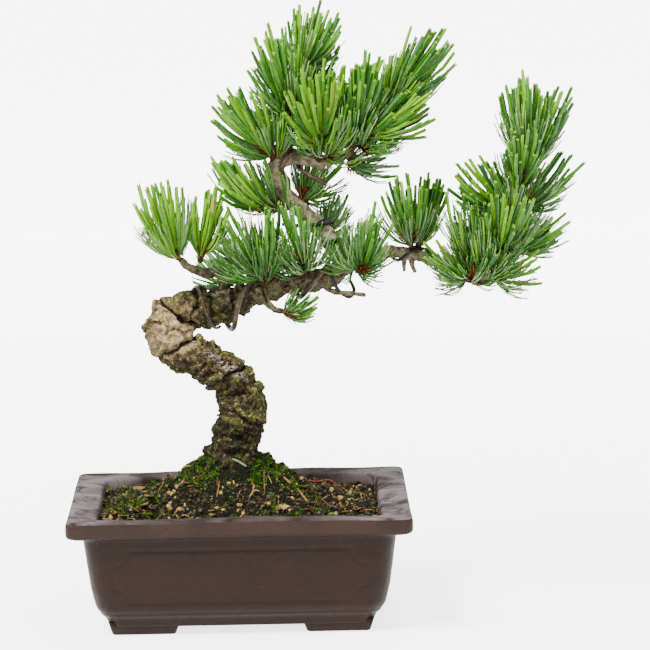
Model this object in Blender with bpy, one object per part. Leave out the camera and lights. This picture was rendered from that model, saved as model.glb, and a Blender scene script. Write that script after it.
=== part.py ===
"""Japanese white pine bonsai, wired, in a rectangular footed pot filled with soil.

All sizes below are in millimetres, measured from the middle of the pot at the height of its feet:
x runs to the right, y away from the front, z up.
"""

import math
import random

import bmesh
import bpy
import numpy as np
from mathutils import Vector, noise
from mathutils.bvhtree import BVHTree

MM = 0.001
GAP = 0.3
UP = np.array([0.0, 0.0, 1.0])

# Pot
POT_WIDTH = 180.0
POT_DEPTH = 135.4
POT_HEIGHT = 65.1
RIM_WIDTH = 15.5
RIM_DROP = 8.8
FOOT_HEIGHT = 4.7
FOOT_LENGTH = 33.0
FOOT_DEPTH = 25.0
FOOT_INSET = 22.4
CORNER_STEPS = 3

# Soil
SOIL_EDGE = 60.0
MOUND_TOP = 85.0
MOUND_RADIUS = 17.5
MOUND_X = -3.0
SOIL_RINGS = 18
SOIL_SIDES = 52
LUMP_RISE = 0.9
CLOD_RISE = 4.2
CLOD_SPACING = 5.2

# Needles
SPRAY_ROOT = 0.75
SPRAY_TIP = 1.15
SPRAY_SIDES = 3
SPRAY_SPACING = 3.4
SPRAY_SHARE = 0.68
ROOT_OFFSET = 0.1
SHORTEST_STEM = 6.0
STEM_ROOT = 1.25
STEM_TIP = 0.95
LOWEST_NEEDLE = 140.0
LOWEST_HEADING = -0.32
DEPTH_LEAN = 0.028
DEEPEST_LEAN = 0.65
GOLDEN_ANGLE = math.radians(137.508)

# Trunk course from the ground to the top: x, y, z and half the thickness
TRUNK_COURSE = (
    (-2, 0, 85.3, 12.2),
    (-1.8, 0, 90, 11.8),
    (-1, 0, 97, 12.0),
    (2.5, -1, 104, 11.6),
    (3.8, -2, 112, 12.0),
    (-0.5, -3, 122, 11.3),
    (-6, -5, 131, 11.2),
    (-17, -8, 138, 11.2),
    (-27, -10, 144, 11.0),
    (-35.5, -9, 149.2, 10.2),
    (-40, -6, 156, 9.2),
    (-36, 1, 163, 9.2),
    (-26.5, 7, 164.4, 10.4),
    (-16, 8, 165.2, 10.4),
    (-6, 7, 167, 9.4),
    (5, 6, 171, 7.2),
    (17, 5, 175, 6.5),
    (30, 3, 177.5, 5.4),
    (43, 0, 180, 6.0),
    (53, 0, 183.5, 5.8),
    (57, 2, 190, 5.4),
    (52, 5, 198.5, 5.2),
    (44, 8, 208, 4.3),
    (35, 6, 217, 3.9),
    (27, 2, 225.5, 3.8),
    (22, -2, 234, 3.8),
    (23, -3, 242, 3.6),
    (30, -2, 246, 3.4),
    (40, 0, 244.5, 3.1),
    (48, 1.5, 242.5, 3.8),
)
TRUNK_SIDES = 14
TRUNK_STEP = 3.6
HAIRPIN = 10
ELBOW = 20
FLARE = 0.16
FLARE_HEIGHT = 7.0
HANG_LENGTH = 6.0

# Boughs: bearer, where they leave it, their course beyond its skin, half the thickness at both ends
BOUGHS = {
    "bough_left": ("trunk_middle", (-4, 7, 168),
                   ((-8, 4, 183), (-17, 0, 185), (-25, -3, 189), (-29, -5, 193)), 2.9, 1.9),
    "bough_low": ("trunk_middle", (13, 5, 174),
                  ((16, 0, 169), (20, -3, 165.5), (24, -5, 164.5)), 2.2, 1.6),
    "bough_right": ("trunk_middle", (53, 0, 184),
                    ((62, 1, 188.5), (69, 2, 191.8), (80, 2, 194.2), (91, 0, 193.8), (101, -2, 191.2),
                     (111, -4, 186.5), (121, -4, 181), (130, -3, 178.4)), 3.9, 2.5),
    "bough_tip": ("bough_right", None,
                  ((137.5, -2, 182), (143, 0, 193), (146.8, 0, 209), (150.6, 0, 222), (153.3, 0, 234)),
                  2.4, 1.3),
    "bough_leader": ("trunk_upper", None,
                     ((57.7, -1, 245.5), (66.8, -1, 254.4), (76.5, 0, 266.3)), 2.7, 1.6),
    "bough_apex": ("trunk_upper", (30, -2, 246),
                   ((29.4, -1, 255), (30.5, 1, 262), (34, 4, 278), (36.8, 6, 290)), 2.2, 1.4),
    "dead_twig": ("trunk_middle", (46, 0, 181), ((49, -4, 174.5), (58, -7, 172.6), (68.7, -8, 173.6)), 1.1, 0.7),
    "stub_left": ("bough_right", (89.3, 0, 194), ((89.3, -0.5, 188), (89.5, -1, 183.9)), 1.0, 0.8),
    "stub_right": ("bough_right", (93, 0, 193.5), ((93.6, -0.5, 187.5), (95.4, -1, 183.3)), 1.0, 0.8),
}

# Wires: bearer, start and end along it, turns, angle at the start, half the gauge, sides, and the place to
# the right where a loop hangs off the limb with how far it hangs
WIRES = {
    "wire_trunk": ("trunk_middle", 0.36, 0.93, 3.2, 0.2, 1.35, 6, 2.0, 3.5),
    "wire_upper": ("trunk_upper", 0.12, 0.46, 2.1, 1.0, 0.75, 4, 0.0, 0.0),
    "wire_top": ("trunk_upper", 0.66, 0.93, 1.9, 2.4, 1.2, 6, 0.0, 0.0),
    "wire_bough": ("bough_right", 0.24, 0.60, 2.0, 0.4, 0.75, 4, 0.0, 0.0),
}

# Foliage: each mass is a few shoots: bearer, where they leave it, tip of their stem, length of the needles,
# sprays, how far the tuft leans to the right from upright and half the angle of its fan, in degrees
MASSES = {
    "foliage_left_outer": (
        ("bough_left", None, (-27, -9, 200), 39, 20, -20, 33),
    ),
    "foliage_left_inner": (
        ("bough_left", (-19, -1, 191), (-17, -3, 198), 33, 16, 16, 42),
    ),
    "foliage_left_back": (
        ("trunk_middle", (-7, 8, 171), (-2, 26, 181), 25, 12, -60, 30),
    ),
    "foliage_mid_left": (
        ("trunk_middle", (14, 5, 175), (12, -12, 192), 35, 18, -27, 44),
        ("stem", None, (5, 15, 187), 30, 10, -60, 34),
    ),
    "foliage_mid_right": (
        ("trunk_middle", (40, 3, 179), (34, -14, 195), 34, 16, -12, 48),
    ),
    "foliage_inner_left": (
        ("trunk_upper", (34, 7, 218), (14, -10, 221), 34, 18, -41, 36),
    ),
    "foliage_inner_back": (
        ("trunk_upper", (35, 7, 218), (40, 18, 226), 27, 12, 45, 62),
    ),
    "foliage_inner_right": (
        ("trunk_upper", (52, 6, 198), (48, 22, 207), 25, 12, 28, 40),
    ),
    "foliage_apex_left": (
        ("trunk_upper", (22, -3, 242), (16, -10, 255), 37, 22, -37, 40),
    ),
    "foliage_apex_top": (
        ("bough_apex", None, (39, 6, 292), 33, 22, 18, 42),
    ),
    "foliage_apex_upper_left": (
        ("bough_apex", (31, 2, 263), (29, -8, 279), 39, 20, -13, 32),
    ),
    "foliage_apex_upper_back": (
        ("bough_apex", (33, 3, 271), (42, 18, 282), 35, 17, 5, 44),
    ),
    "foliage_apex_front": (
        ("trunk_upper", (44, 0, 243), (45, -19, 260), 36, 18, -12, 44),
    ),
    "foliage_apex_inner": (
        ("trunk_upper", (40, 0, 244), (49, -4, 261), 36, 18, 10, 42),
    ),
    "foliage_apex_back": (
        ("trunk_upper", (43, 0, 244), (49, 26, 258), 36, 20, 10, 46),
    ),
    "foliage_leader_left": (
        ("bough_leader", (62, -2, 249), (66, -8, 268), 36, 18, 10, 34),
    ),
    "foliage_leader_tip": (
        ("bough_leader", None, (89, -2, 283), 38, 22, 38, 36),
    ),
    "foliage_leader_back": (
        ("bough_leader", (71, 0, 260), (83, 18, 269), 34, 18, 34, 42),
    ),
    "foliage_leader_front": (
        ("bough_leader", (65, -1, 252), (76, -15, 262), 34, 16, 62, 40),
    ),
    "foliage_leader_low": (
        ("bough_leader", (59, -1, 247), (66, 9, 241), 28, 14, 104, 44),
    ),
    "foliage_front": (
        ("trunk_middle", (57, 0, 186), (68, -21, 190), 29, 18, 8, 78),
    ),
    "foliage_right_low": (
        ("bough_right", (94, 0, 193), (92, -8, 205), 34, 14, -20, 40),
        ("stem", None, (101, 7, 203), 32, 14, 18, 32),
    ),
    "foliage_tip_low": (
        ("bough_right", (124, -4, 179), (121, -13, 185), 28, 14, -54, 46),
        ("stem", None, (131, -16, 190), 33, 14, -4, 50),
    ),
    "foliage_tip_under": (
        ("bough_tip", (136, -2, 182), (136, -14, 182), 23, 12, 88, 52),
    ),
    "foliage_tip_front": (
        ("bough_tip", (142, 0, 191), (139, -18, 199), 36, 18, 8, 44),
    ),
    "foliage_tip_outer": (
        ("bough_tip", (144, 0, 197), (150, 6, 194), 28, 16, 62, 42),
    ),
    "foliage_tip_top": (
        ("bough_tip", None, (154, -3, 250), 36, 20, -4, 28),
    ),
    "foliage_tip_upper_right": (
        ("bough_tip", (152, 0, 228), (160, 5, 249), 36, 18, 25, 26),
    ),
    "foliage_tip_upper_left": (
        ("bough_tip", (151, 0, 221), (148, -11, 237), 30, 15, -4, 34),
    ),
    "foliage_tip_left": (
        ("bough_tip", (147, 0, 208), (141, -8, 220), 33, 18, -46, 42),
    ),
    "foliage_tip_right": (
        ("bough_tip", (149, 0, 216), (157, 9, 219), 28, 13, 42, 36),
    ),
    "foliage_tip_back": (
        ("bough_tip", (145, 0, 202), (144, 22, 210), 34, 16, -2, 50),
    ),
    "foliage_low": (
        ("bough_low", None, (27, -8, 164.5), 22, 12, 78, 44),
    ),
}


def unit(vector):
    """Vector of length one."""
    vector = np.asarray(vector, dtype=float)
    return vector / max(np.linalg.norm(vector), 1e-9)


def smooth_course(points, step):
    """Even stations along a Catmull-Rom course through the points, with any further columns carried along."""
    points = np.asarray(points, dtype=float)
    padded = np.vstack((2 * points[0] - points[1], points, 2 * points[-1] - points[-2]))
    dense = []
    for i in range(1, len(padded) - 2):
        a, b, c, d = padded[i - 1:i + 3]
        for t in np.linspace(0, 1, 24, endpoint=False):
            dense.append(0.5 * (2 * b + (c - a) * t + (2 * a - 5 * b + 4 * c - d) * t ** 2
                                + (3 * b - a - 3 * c + d) * t ** 3))
    dense.append(points[-1])
    dense = np.array(dense)
    run = np.concatenate(([0], np.cumsum(np.linalg.norm(np.diff(dense[:, :3], axis=0), axis=1))))
    count = max(3, int(round(run[-1] / step)) + 1)
    wanted = np.linspace(0, run[-1], count)
    return np.column_stack([np.interp(wanted, run, column) for column in dense.T])


def tangents(course):
    """Unit headings along the course."""
    flow = np.gradient(course[:, :3], axis=0)
    flow[0] = course[1, :3] - course[0, :3]
    flow[-1] = course[-1, :3] - course[-2, :3]
    return flow / np.linalg.norm(flow, axis=1)[:, None]


def frames(course):
    """Headings and a pair of cross axes carried along the course without twist."""
    flow = tangents(course)
    side = np.cross(flow[0], (0, 1, 0.01))
    sides = []
    for heading in flow:
        side = unit(side - heading * np.dot(side, heading))
        sides.append(side)
    sides = np.array(sides)
    return flow, sides, np.cross(flow, sides)


def turned(sides, others, index, angle):
    """Direction square to the course at one station, at the given angle."""
    return sides[index] * math.cos(angle) + others[index] * math.sin(angle)


def new_material(name, colour, roughness, metallic=0.0):
    """Plain finish."""
    material = bpy.data.materials.new(name)
    material.use_nodes = True
    shader = material.node_tree.nodes["Principled BSDF"]
    shader.inputs["Base Color"].default_value = (*colour, 1.0)
    shader.inputs["Roughness"].default_value = roughness
    shader.inputs["Metallic"].default_value = metallic
    return material


def add_object(name, mesh, material, smooth=True):
    """Object in the plant's collection."""
    thing = bpy.data.objects.new(name, mesh)
    mesh.materials.clear()
    mesh.materials.append(material)
    mesh.polygons.foreach_set("use_smooth", [smooth] * len(mesh.polygons))
    plant.objects.link(thing)
    return thing


def face_outwards(shape):
    """Turn all faces of a closed shape outwards."""
    bmesh.ops.recalc_face_normals(shape, faces=shape.faces)
    if shape.calc_volume(signed=True) < 0:
        bmesh.ops.reverse_faces(shape, faces=shape.faces)


def loft(name, rings):
    """Closed mesh through rings of equally many corners, flat at both ends."""
    sides = len(rings[0])
    corners = [tuple(np.asarray(p) * MM) for ring in rings for p in ring]
    faces = [tuple(reversed(range(sides)))]
    for i in range(len(rings) - 1):
        for j in range(sides):
            k = (j + 1) % sides
            faces.append((i * sides + j, i * sides + k, (i + 1) * sides + k, (i + 1) * sides + j))
    faces.append(tuple(range((len(rings) - 1) * sides, len(rings) * sides)))
    mesh = bpy.data.meshes.new(name)
    mesh.from_pydata(corners, [], faces)
    shape = bmesh.new()
    shape.from_mesh(mesh)
    face_outwards(shape)
    shape.to_mesh(mesh)
    shape.free()
    return mesh


def tube(name, course, sides):
    """Closed round bar along the course, with the thickness of its fourth column."""
    curve = bpy.data.curves.new(name, "CURVE")
    curve.dimensions = "3D"
    curve.bevel_depth = MM
    curve.bevel_resolution = (sides - 4) // 2
    curve.use_fill_caps = True
    spline = curve.splines.new("POLY")
    spline.points.add(len(course) - 1)
    for point, station in zip(spline.points, course):
        point.co = (*(station[:3] * MM), 1.0)
        point.radius = station[3]
    bar = bpy.data.objects.new(name, curve)
    plant.objects.link(bar)
    bpy.context.view_layer.update()
    mesh = bpy.data.meshes.new_from_object(bar.evaluated_get(bpy.context.evaluated_depsgraph_get()))
    bpy.data.objects.remove(bar)
    bpy.data.curves.remove(curve)
    shape = bmesh.new()
    shape.from_mesh(mesh)
    bmesh.ops.remove_doubles(shape, verts=shape.verts, dist=0.002 * MM)
    face_outwards(shape)
    shape.to_mesh(mesh)
    shape.free()
    return mesh


def rounded_rectangle(half_x, half_y, radius, z):
    """Ring of corners of a rectangle with rounded corners at one height."""
    ring = []
    for quarter in range(4):
        sign_x = (1, -1, -1, 1)[quarter]
        sign_y = (1, 1, -1, -1)[quarter]
        for step in range(CORNER_STEPS + 1):
            angle = math.pi / 2 * (quarter + step / CORNER_STEPS)
            ring.append((sign_x * (half_x - radius) + radius * math.cos(angle),
                         sign_y * (half_y - radius) + radius * math.sin(angle), z))
    return ring


def inset_ring(inset, radius, z):
    """Rounded rectangle set in from the outside of the rim."""
    return rounded_rectangle(POT_WIDTH / 2 - inset, POT_DEPTH / 2 - inset, radius, z)


def join_solids(main, others):
    """One closed solid out of the main object and all the others, nudged by a hair where they won't join."""
    rule = random.Random(len(others))
    pieces = bpy.data.collections.new("pieces")
    bpy.context.scene.collection.children.link(pieces)
    for other in others:
        pieces.objects.link(other)
    union = main.modifiers.new("Join", "BOOLEAN")
    union.operation = "UNION"
    union.operand_type = "COLLECTION"
    union.collection = pieces
    tries = [("MANIFOLD", 0.004), ("MANIFOLD", 0.0), ("EXACT", 0.004), ("EXACT", 0.0)] * 8
    for attempt, (solver, weld) in enumerate(tries):
        union.solver = solver
        bpy.context.view_layer.update()
        mesh = bpy.data.meshes.new_from_object(main.evaluated_get(bpy.context.evaluated_depsgraph_get()))
        keep_outer_shell(mesh, weld)
        if open_edges(mesh) == 0:
            break
        if attempt % 4 == 3:
            for other in pieces.objects:
                other.location = [rule.uniform(-0.06, 0.06) * MM for _ in range(3)]
    print(main.name, solver, len(mesh.polygons), "faces,", open_edges(mesh), "open edges, try", attempt + 1)
    main.modifiers.clear()
    for other in list(pieces.objects):
        bpy.data.objects.remove(other)
    bpy.data.collections.remove(pieces)
    main.data = mesh
    return mesh


def open_edges(mesh):
    """Number of edges that don't have exactly two faces."""
    shape = bmesh.new()
    shape.from_mesh(mesh)
    count = sum(1 for edge in shape.edges if len(edge.link_faces) != 2)
    shape.free()
    return count


def loose_object(name, mesh):
    """Object outside the plant's collection, to be joined later."""
    return bpy.data.objects.new(name, mesh)


def keep_outer_shell(mesh, weld):
    """Only the largest closed shell: sealed hollows filled, scrap dropped, slivers welded."""
    shape = bmesh.new()
    shape.from_mesh(mesh)
    if weld:
        bmesh.ops.remove_doubles(shape, verts=shape.verts, dist=weld * MM)
        bmesh.ops.dissolve_degenerate(shape, edges=shape.edges, dist=weld * 0.5 * MM)
    bmesh.ops.triangulate(shape, faces=shape.faces)
    left = set(shape.faces)
    shells = []
    while left:
        shell = [left.pop()]
        for face in shell:
            for edge in face.edges:
                for neighbour in edge.link_faces:
                    if neighbour in left:
                        left.discard(neighbour)
                        shell.append(neighbour)
        shells.append(shell)
    shells.sort(key=len)
    scrap = [face for shell in shells[:-1] for face in shell]
    bmesh.ops.delete(shape, geom=scrap, context="FACES")
    face_outwards(shape)
    shape.to_mesh(mesh)
    shape.free()


def build_pot():
    """Tray with a wide rim, tapering sides, a base band and four corner feet."""
    top = POT_HEIGHT
    lip = top - RIM_DROP
    rings = [
        inset_ring(20.6, 7, FOOT_HEIGHT),
        inset_ring(18.6, 8, 9.5),
        inset_ring(16.2, 9, 11.5),
        inset_ring(13.8, 10, 16),
        inset_ring(11.6, 10, 26),
        inset_ring(9.8, 10, 40),
        inset_ring(8.2, 9, lip - 2.2),
        inset_ring(1.6, 4, lip - 0.6),
        inset_ring(0.0, 4, lip + 0.9),
        inset_ring(0.0, 4, top - 0.9),
        inset_ring(0.9, 4, top),
        inset_ring(RIM_WIDTH - 0.7, 4, top - 1.1),
        inset_ring(RIM_WIDTH, 4, top - 1.9),
        inset_ring(16.2, 4, lip),
        inset_ring(18.3, 5, 40),
        inset_ring(20.3, 5, 26),
        inset_ring(23.0, 5, 16),
        inset_ring(28.0, 5, 11),
    ]
    body = add_object("pot", loft("pot", rings), GLAZE)
    feet = []
    for sign_x in (-1, 1):
        for sign_y in (-1, 1):
            outer_x = POT_WIDTH / 2 - FOOT_INSET
            outer_y = POT_DEPTH / 2 - FOOT_INSET
            foot = []
            for grow, z in ((0.0, 0.0), (2.6, 7.0)):
                near_x = outer_x - FOOT_LENGTH - grow
                near_y = outer_y - FOOT_DEPTH - grow
                far_x = outer_x + grow * 0.8
                far_y = outer_y + grow * 0.8
                foot.append([(sign_x * x, sign_y * y, z) for x, y in
                             ((near_x, near_y), (far_x, near_y), (far_x, far_y), (near_x, far_y))])
            feet.append(loose_object("foot", loft("foot", foot)))
    join_solids(body, feet)
    body.data.materials.clear()
    body.data.materials.append(GLAZE)
    return body


def soil_height(x, y):
    """Surface of the soil: nearly flat near the rim, rising to a mound round the trunk."""
    run = math.hypot(x - MOUND_X, y * 1.22)
    height = np.interp(run, (0, MOUND_RADIUS, 22, 32, 43, 58, 75),
                       (MOUND_TOP, MOUND_TOP, 80.5, 73, 68, 63.5, SOIL_EDGE))
    if run < MOUND_RADIUS + 1:
        return MOUND_TOP
    lumps = math.sin(x * 0.39 + 1.3) * math.cos(y * 0.39) + 0.6 * math.sin(x * 0.13 - y * 0.21 + 0.6)
    clods = noise.noise(Vector((x / CLOD_SPACING, y / CLOD_SPACING, 5.0)))
    return float(height) + LUMP_RISE * lumps + CLOD_RISE * clods


def soil_ring(inset, z):
    """Ring of even bearings just inside the cavity wall."""
    half_x = POT_WIDTH / 2 - inset
    half_y = POT_DEPTH / 2 - inset
    ring = []
    for i in range(SOIL_SIDES):
        angle = 2 * math.pi * (i + 0.5) / SOIL_SIDES
        ux = math.cos(angle)
        uy = math.sin(angle)
        reach = (abs(ux / half_x) ** 9 + abs(uy / half_y) ** 9) ** (-1 / 9)
        ring.append((ux * reach, uy * reach, z))
    return ring


def build_soil():
    """Soil filling the pot, clear of its wall and floor."""
    rings = [soil_ring(28.6, 11.4), soil_ring(23.6, 16.2), soil_ring(20.8, 26), soil_ring(18.8, 40),
             soil_ring(16.7, 54)]
    edge = soil_ring(16.4, 0)
    rings.append([(x, y, min(soil_height(x, y), SOIL_EDGE + 0.8)) for x, y, z in edge])
    for i in range(1, SOIL_RINGS):
        share = 1 - i / SOIL_RINGS
        ring = []
        for x, y, z in edge:
            round_off = share ** 1.6
            far = math.hypot(x, y)
            blend = 58.0 / far * (1 - round_off) + round_off
            ring.append((x * share * blend + MOUND_X * (1 - share), y * share * blend))
        rings.append([(x, y, soil_height(x, y)) for x, y in ring])
    return add_object("soil", loft("soil", rings), SOIL)


def relief_rule(seed, knots, strength):
    """Knobs and folds round a limb: each is a swelling at one place along and around it."""
    rule = random.Random(seed)
    places = [(rule.random(), rule.uniform(0, 2 * math.pi), rule.uniform(0.5, 1.0) * strength,
               rule.uniform(0.25, 0.5), rule.uniform(2.5, 5.0)) for _ in range(knots)]

    def swell(along, total, angle):
        lift = 0.0
        for place, bearing, height, breadth, length in places:
            off = (along - place * total) / length
            turn = math.remainder(angle - bearing, 2 * math.pi) / breadth
            lift += height * math.exp(-off * off - turn * turn * 0.25)
        fold = 0.35 * strength * math.sin(along * 0.62 + 1.5 * math.sin(angle + along * 0.05))
        return lift + fold - 0.25 * strength

    return swell


def limb_rings(course, whole, sides, swell, flare):
    """Rings round the course, knobbly, flattened where a bend of the whole limb would press into itself."""
    flow, side, other = frames(course)
    run = np.concatenate(([0], np.cumsum(np.linalg.norm(np.diff(course[:, :3], axis=0), axis=1))))
    rings = []
    for i, station in enumerate(course):
        away = whole[:, :3] - station[:3]
        far = np.linalg.norm(away, axis=1)
        keep = far > 2.5
        room = far[keep] * station[3] / (station[3] + whole[keep, 3]) - 0.5
        towards = away[keep] / far[keep][:, None]
        ring = []
        for j in range(sides):
            angle = 2 * math.pi * j / sides
            outward = turned(side, other, i, angle)
            reach = station[3] + swell(run[i], run[-1], angle)
            if flare:
                spread = math.exp(-run[i] / FLARE_HEIGHT)
                reach *= 1 + FLARE * spread * (0.45 + 0.55 * math.cos(5 * angle + 0.7))
            lean = towards @ outward
            facing = lean > 0.05
            reach = min(reach, float(np.min(room[facing] / lean[facing], initial=reach)))
            ring.append(station[:3] + outward * reach)
        rings.append(ring)
    return rings


def build_trunk():
    """Trunk in three pieces, split at the hairpin and at the elbow."""
    course = smooth_course(TRUNK_COURSE, TRUNK_STEP)
    cuts = []
    for index in (HAIRPIN, ELBOW):
        there = np.array(TRUNK_COURSE[index][:3])
        cuts.append(int(np.argmin(np.linalg.norm(course[:, :3] - there, axis=1))))
    flow = tangents(course)
    parts = (("trunk_lower", 0, cuts[0], BARK, 11, 26, 2.0), ("trunk_middle", cuts[0], cuts[1], BARK, 5, 20, 1.4),
             ("trunk_upper", cuts[1], len(course) - 1, PALE_BARK, 3, 12, 0.5))
    for name, first, last, finish, seed, knots, strength in parts:
        piece = course[first:last + 1].copy()
        if first:
            piece[0, :3] += flow[first] * GAP
            follow = piece[0].copy()
            follow[:3] += flow[first] * 1.0
            piece = np.vstack((piece[0], follow, piece[1:]))
        if last < len(course) - 1:
            before = piece[-1].copy()
            before[:3] -= flow[last] * 1.0
            piece = np.vstack((piece[:-1], before, piece[-1]))
        rings = limb_rings(piece, course, TRUNK_SIDES, relief_rule(seed, knots, strength), first == 0)
        if first == 0:
            rings[0] = [np.array((p[0], p[1], TRUNK_COURSE[0][2])) for p in rings[0]]
        register(name, piece, add_object(name, loft(name, rings), finish), rings)


def register(name, course, thing, rings=None):
    """Remember a limb's course and skin, for what is seated on it and has to stay clear of it."""
    COURSES[name] = course
    if thing is not None:
        shape = bmesh.new()
        shape.from_mesh(thing.data)
        bmesh.ops.triangulate(shape, faces=shape.faces)
        SKINS[name] = BVHTree.FromBMesh(shape)
        shape.free()
    reach = course[:, 3].copy()
    if rings is not None:
        for i, ring in enumerate(rings):
            reach[i] = max(np.linalg.norm(np.asarray(p) - course[i, :3]) for p in ring)
    for i in range(len(course) - 1):
        CAPSULES.append((name, course[i, :3], course[i + 1, :3], max(reach[i], reach[i + 1])))


def skin_distance(name, point):
    """Distance from a point to a limb's skin, less than nothing inside it."""
    place, normal, index, distance = SKINS[name].find_nearest(Vector(point * MM))
    thickest = COURSES[name][:, 3].max() * 1.4 * MM
    inside = distance < thickest and (Vector(point * MM) - place).dot(normal) < -0.5 * distance
    return (-distance if inside else distance) / MM


def cap_corners(point, heading, radius):
    """Corners round the end of a bar."""
    side = unit(np.cross(heading, (0.31, 0.22, 0.92)))
    other = np.cross(heading, side)
    return [point] + [point + radius * (side * math.cos(a) + other * math.sin(a))
                      for a in np.linspace(0, 2 * math.pi, 10, endpoint=False)]


def seat(bearer, start, target, radius):
    """Place just off the bearer's skin, on the way from its middle to the target, and the way out from there."""
    start = np.asarray(start, dtype=float)
    heading = unit(np.asarray(target, dtype=float) - start)
    place, normal, index, distance = SKINS[bearer].ray_cast(Vector(start * MM), Vector(heading))
    if place is None:
        place, normal, index, distance = SKINS[bearer].find_nearest(Vector(start * MM))
    skin = np.array(place) / MM
    outward = np.array(normal)
    if np.dot(outward, heading) < 0:
        outward = -outward
    for out in np.arange(GAP, 6.0, 0.05):
        point = skin + outward * out
        corners = [corner for step in (0.0, 1.0) for corner in cap_corners(point + outward * step, outward, radius)]
        if all(skin_distance(name, corner) >= GAP - 0.02 for name in SKINS for corner in corners):
            break
    return point, outward


def end_of(bearer):
    """Last station of a bearer and its heading there."""
    course = COURSES[bearer]
    return course[-1, :3], unit(course[-1, :3] - course[-2, :3])


def bar_course(bearer, leave, stations, first, last, step):
    """Course of a bough or stem that starts clear of its bearer and is square to it there."""
    if leave is None:
        start, heading = end_of(bearer)
        start = start + heading * GAP
    else:
        start, heading = seat(bearer, leave, stations[0], first)
    points = [start, start + heading * 1.5]
    for station in stations:
        station = np.asarray(station, dtype=float)
        if np.dot(station - points[-1], heading) > 2.5 or len(points) > 2:
            points.append(station)
    share = np.linspace(0, 1, len(points))
    points = np.column_stack((np.array(points), first + (last - first) * share))
    course = smooth_course(points, step)
    second = course[0].copy()
    second[:3] = start + heading * 0.9
    course[0, :3] = start
    return np.vstack((course[0], second, course[1:]))


def build_boughs():
    """Boughs, dead twigs and stubs, each a tapering bar."""
    for name, (bearer, leave, stations, first, last) in BOUGHS.items():
        course = bar_course(bearer, leave, stations, first, last, 4.5)
        sides = 8 if first > 2 else 6
        register(name, course, add_object(name, tube(name, course, sides), PALE_BARK))


def wound_course(bearer, start, stop, turns, phase, half, hang, drop):
    """Course of a wire wound round a limb, held off its knobs."""
    course = COURSES[bearer]
    flow, side, other = frames(course)
    count = int(turns * 14)
    lasts = len(course) - 1
    points = []
    for i in range(count + 1):
        share = (start + (stop - start) * i / count) * lasts
        low = min(int(share), lasts - 1)
        part = share - low
        middle = course[low, :3] * (1 - part) + course[low + 1, :3] * part
        angle = phase + 2 * math.pi * turns * i / count
        outward = unit(turned(side, other, low, angle) * (1 - part) + turned(side, other, low + 1, angle) * part)
        distance = course[low, 3] * 0.8 + half
        while skin_distance(bearer, middle + outward * distance) < half + GAP + 0.05:
            distance += 0.1
        points.append((middle, outward, distance))
    reaches = np.array([p[2] for p in points])
    held = np.array([reaches[max(0, i - 1):i + 2].max() for i in range(len(reaches))])
    loose = [drop * math.exp(-((m[0] - hang) / HANG_LENGTH) ** 2) * max(0.0, -o[2]) ** 2 for m, o, _ in points]
    return np.array([np.append(m + o * (d + l), half) for (m, o, _), d, l in zip(points, held, loose)])


def build_wires():
    """Wires wound round the limbs, turned so that they pass between the boughs and stems."""
    for name, (bearer, start, stop, turns, phase, half, sides, hang, drop) in WIRES.items():
        for attempt in range(60):
            more = turns + (0, 0.2, -0.2, 0.4, -0.4)[attempt // 12]
            wound = wound_course(bearer, start, stop, more, phase + 0.52 * (attempt % 12), half, hang, drop)
            if all(is_clear(bearer, wound[i, :3], wound[i + 1, :3], half, GAP) for i in range(len(wound) - 1)):
                break
        mesh = tube(name, wound, sides)
        add_object(name, mesh, BROWN_WIRE if half > 1 else BLACK_WIRE)
        near = min(skin_distance(bearer, np.array(v.co) / MM) for v in mesh.vertices)
        print(name, "attempt", attempt, "nearest to its limb", round(near, 2))
        for i in range(len(wound) - 1):
            CAPSULES.append((name, wound[i, :3], wound[i + 1, :3], half))


def segment_gap(a, b, starts, ends):
    """Distances between one segment and many."""
    d1 = b - a
    d2 = ends - starts
    r = a - starts
    aa = np.dot(d1, d1)
    ee = np.einsum("ij,ij->i", d2, d2)
    ff = np.einsum("ij,ij->i", d2, r)
    cc = r @ d1
    bb = d2 @ d1
    base = np.maximum(aa * ee - bb * bb, 1e-9)
    s = np.clip((bb * ff - cc * ee) / base, 0, 1)
    t = np.clip((bb * s + ff) / np.maximum(ee, 1e-9), 0, 1)
    s = np.clip((bb * t - cc) / max(aa, 1e-9), 0, 1)
    first = a + s[:, None] * d1
    second = starts + t[:, None] * d2
    return np.linalg.norm(first - second, axis=1)


def is_clear(owner, a, b, radius, allowance):
    """Whether a bar stays off everything that isn't its own."""
    others = [c for c in CAPSULES if c[0] != owner]
    starts = np.array([c[1] for c in others])
    ends = np.array([c[2] for c in others])
    reach = np.array([c[3] for c in others])
    return bool(np.all(segment_gap(a, b, starts, ends) > reach + radius + allowance))


def shoot_course(start, heading, tip):
    """Stem that leaves square and bends to its tip."""
    tip = np.asarray(tip, dtype=float)
    if np.dot(tip - start, heading) < SHORTEST_STEM:
        tip = start + heading * SHORTEST_STEM
    length = np.linalg.norm(tip - start)
    middle = start + heading * length * 0.4 + (tip - start) * 0.15
    points = [start, start + heading * 1.0, middle, tip]
    half = np.linspace(STEM_ROOT, STEM_TIP, 4)
    course = smooth_course(np.column_stack((np.array(points), half)), 5.0)
    course[1, :3] = start + heading * 1.2
    return course


def spray_solid(root, heading, length):
    """Bundle of needles as one slim blade."""
    shape = bmesh.new()
    bmesh.ops.create_cone(shape, cap_ends=True, segments=SPRAY_SIDES, radius1=SPRAY_ROOT * MM,
                          radius2=SPRAY_TIP * MM, depth=length * MM)
    turn = Vector((0, 0, 1)).rotation_difference(Vector(heading))
    for corner in shape.verts:
        corner.co = turn @ (corner.co + Vector((0, 0, length * MM / 2))) + Vector(root * MM)
    mesh = bpy.data.meshes.new("spray")
    shape.to_mesh(mesh)
    shape.free()
    return loose_object("spray", mesh)


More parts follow.
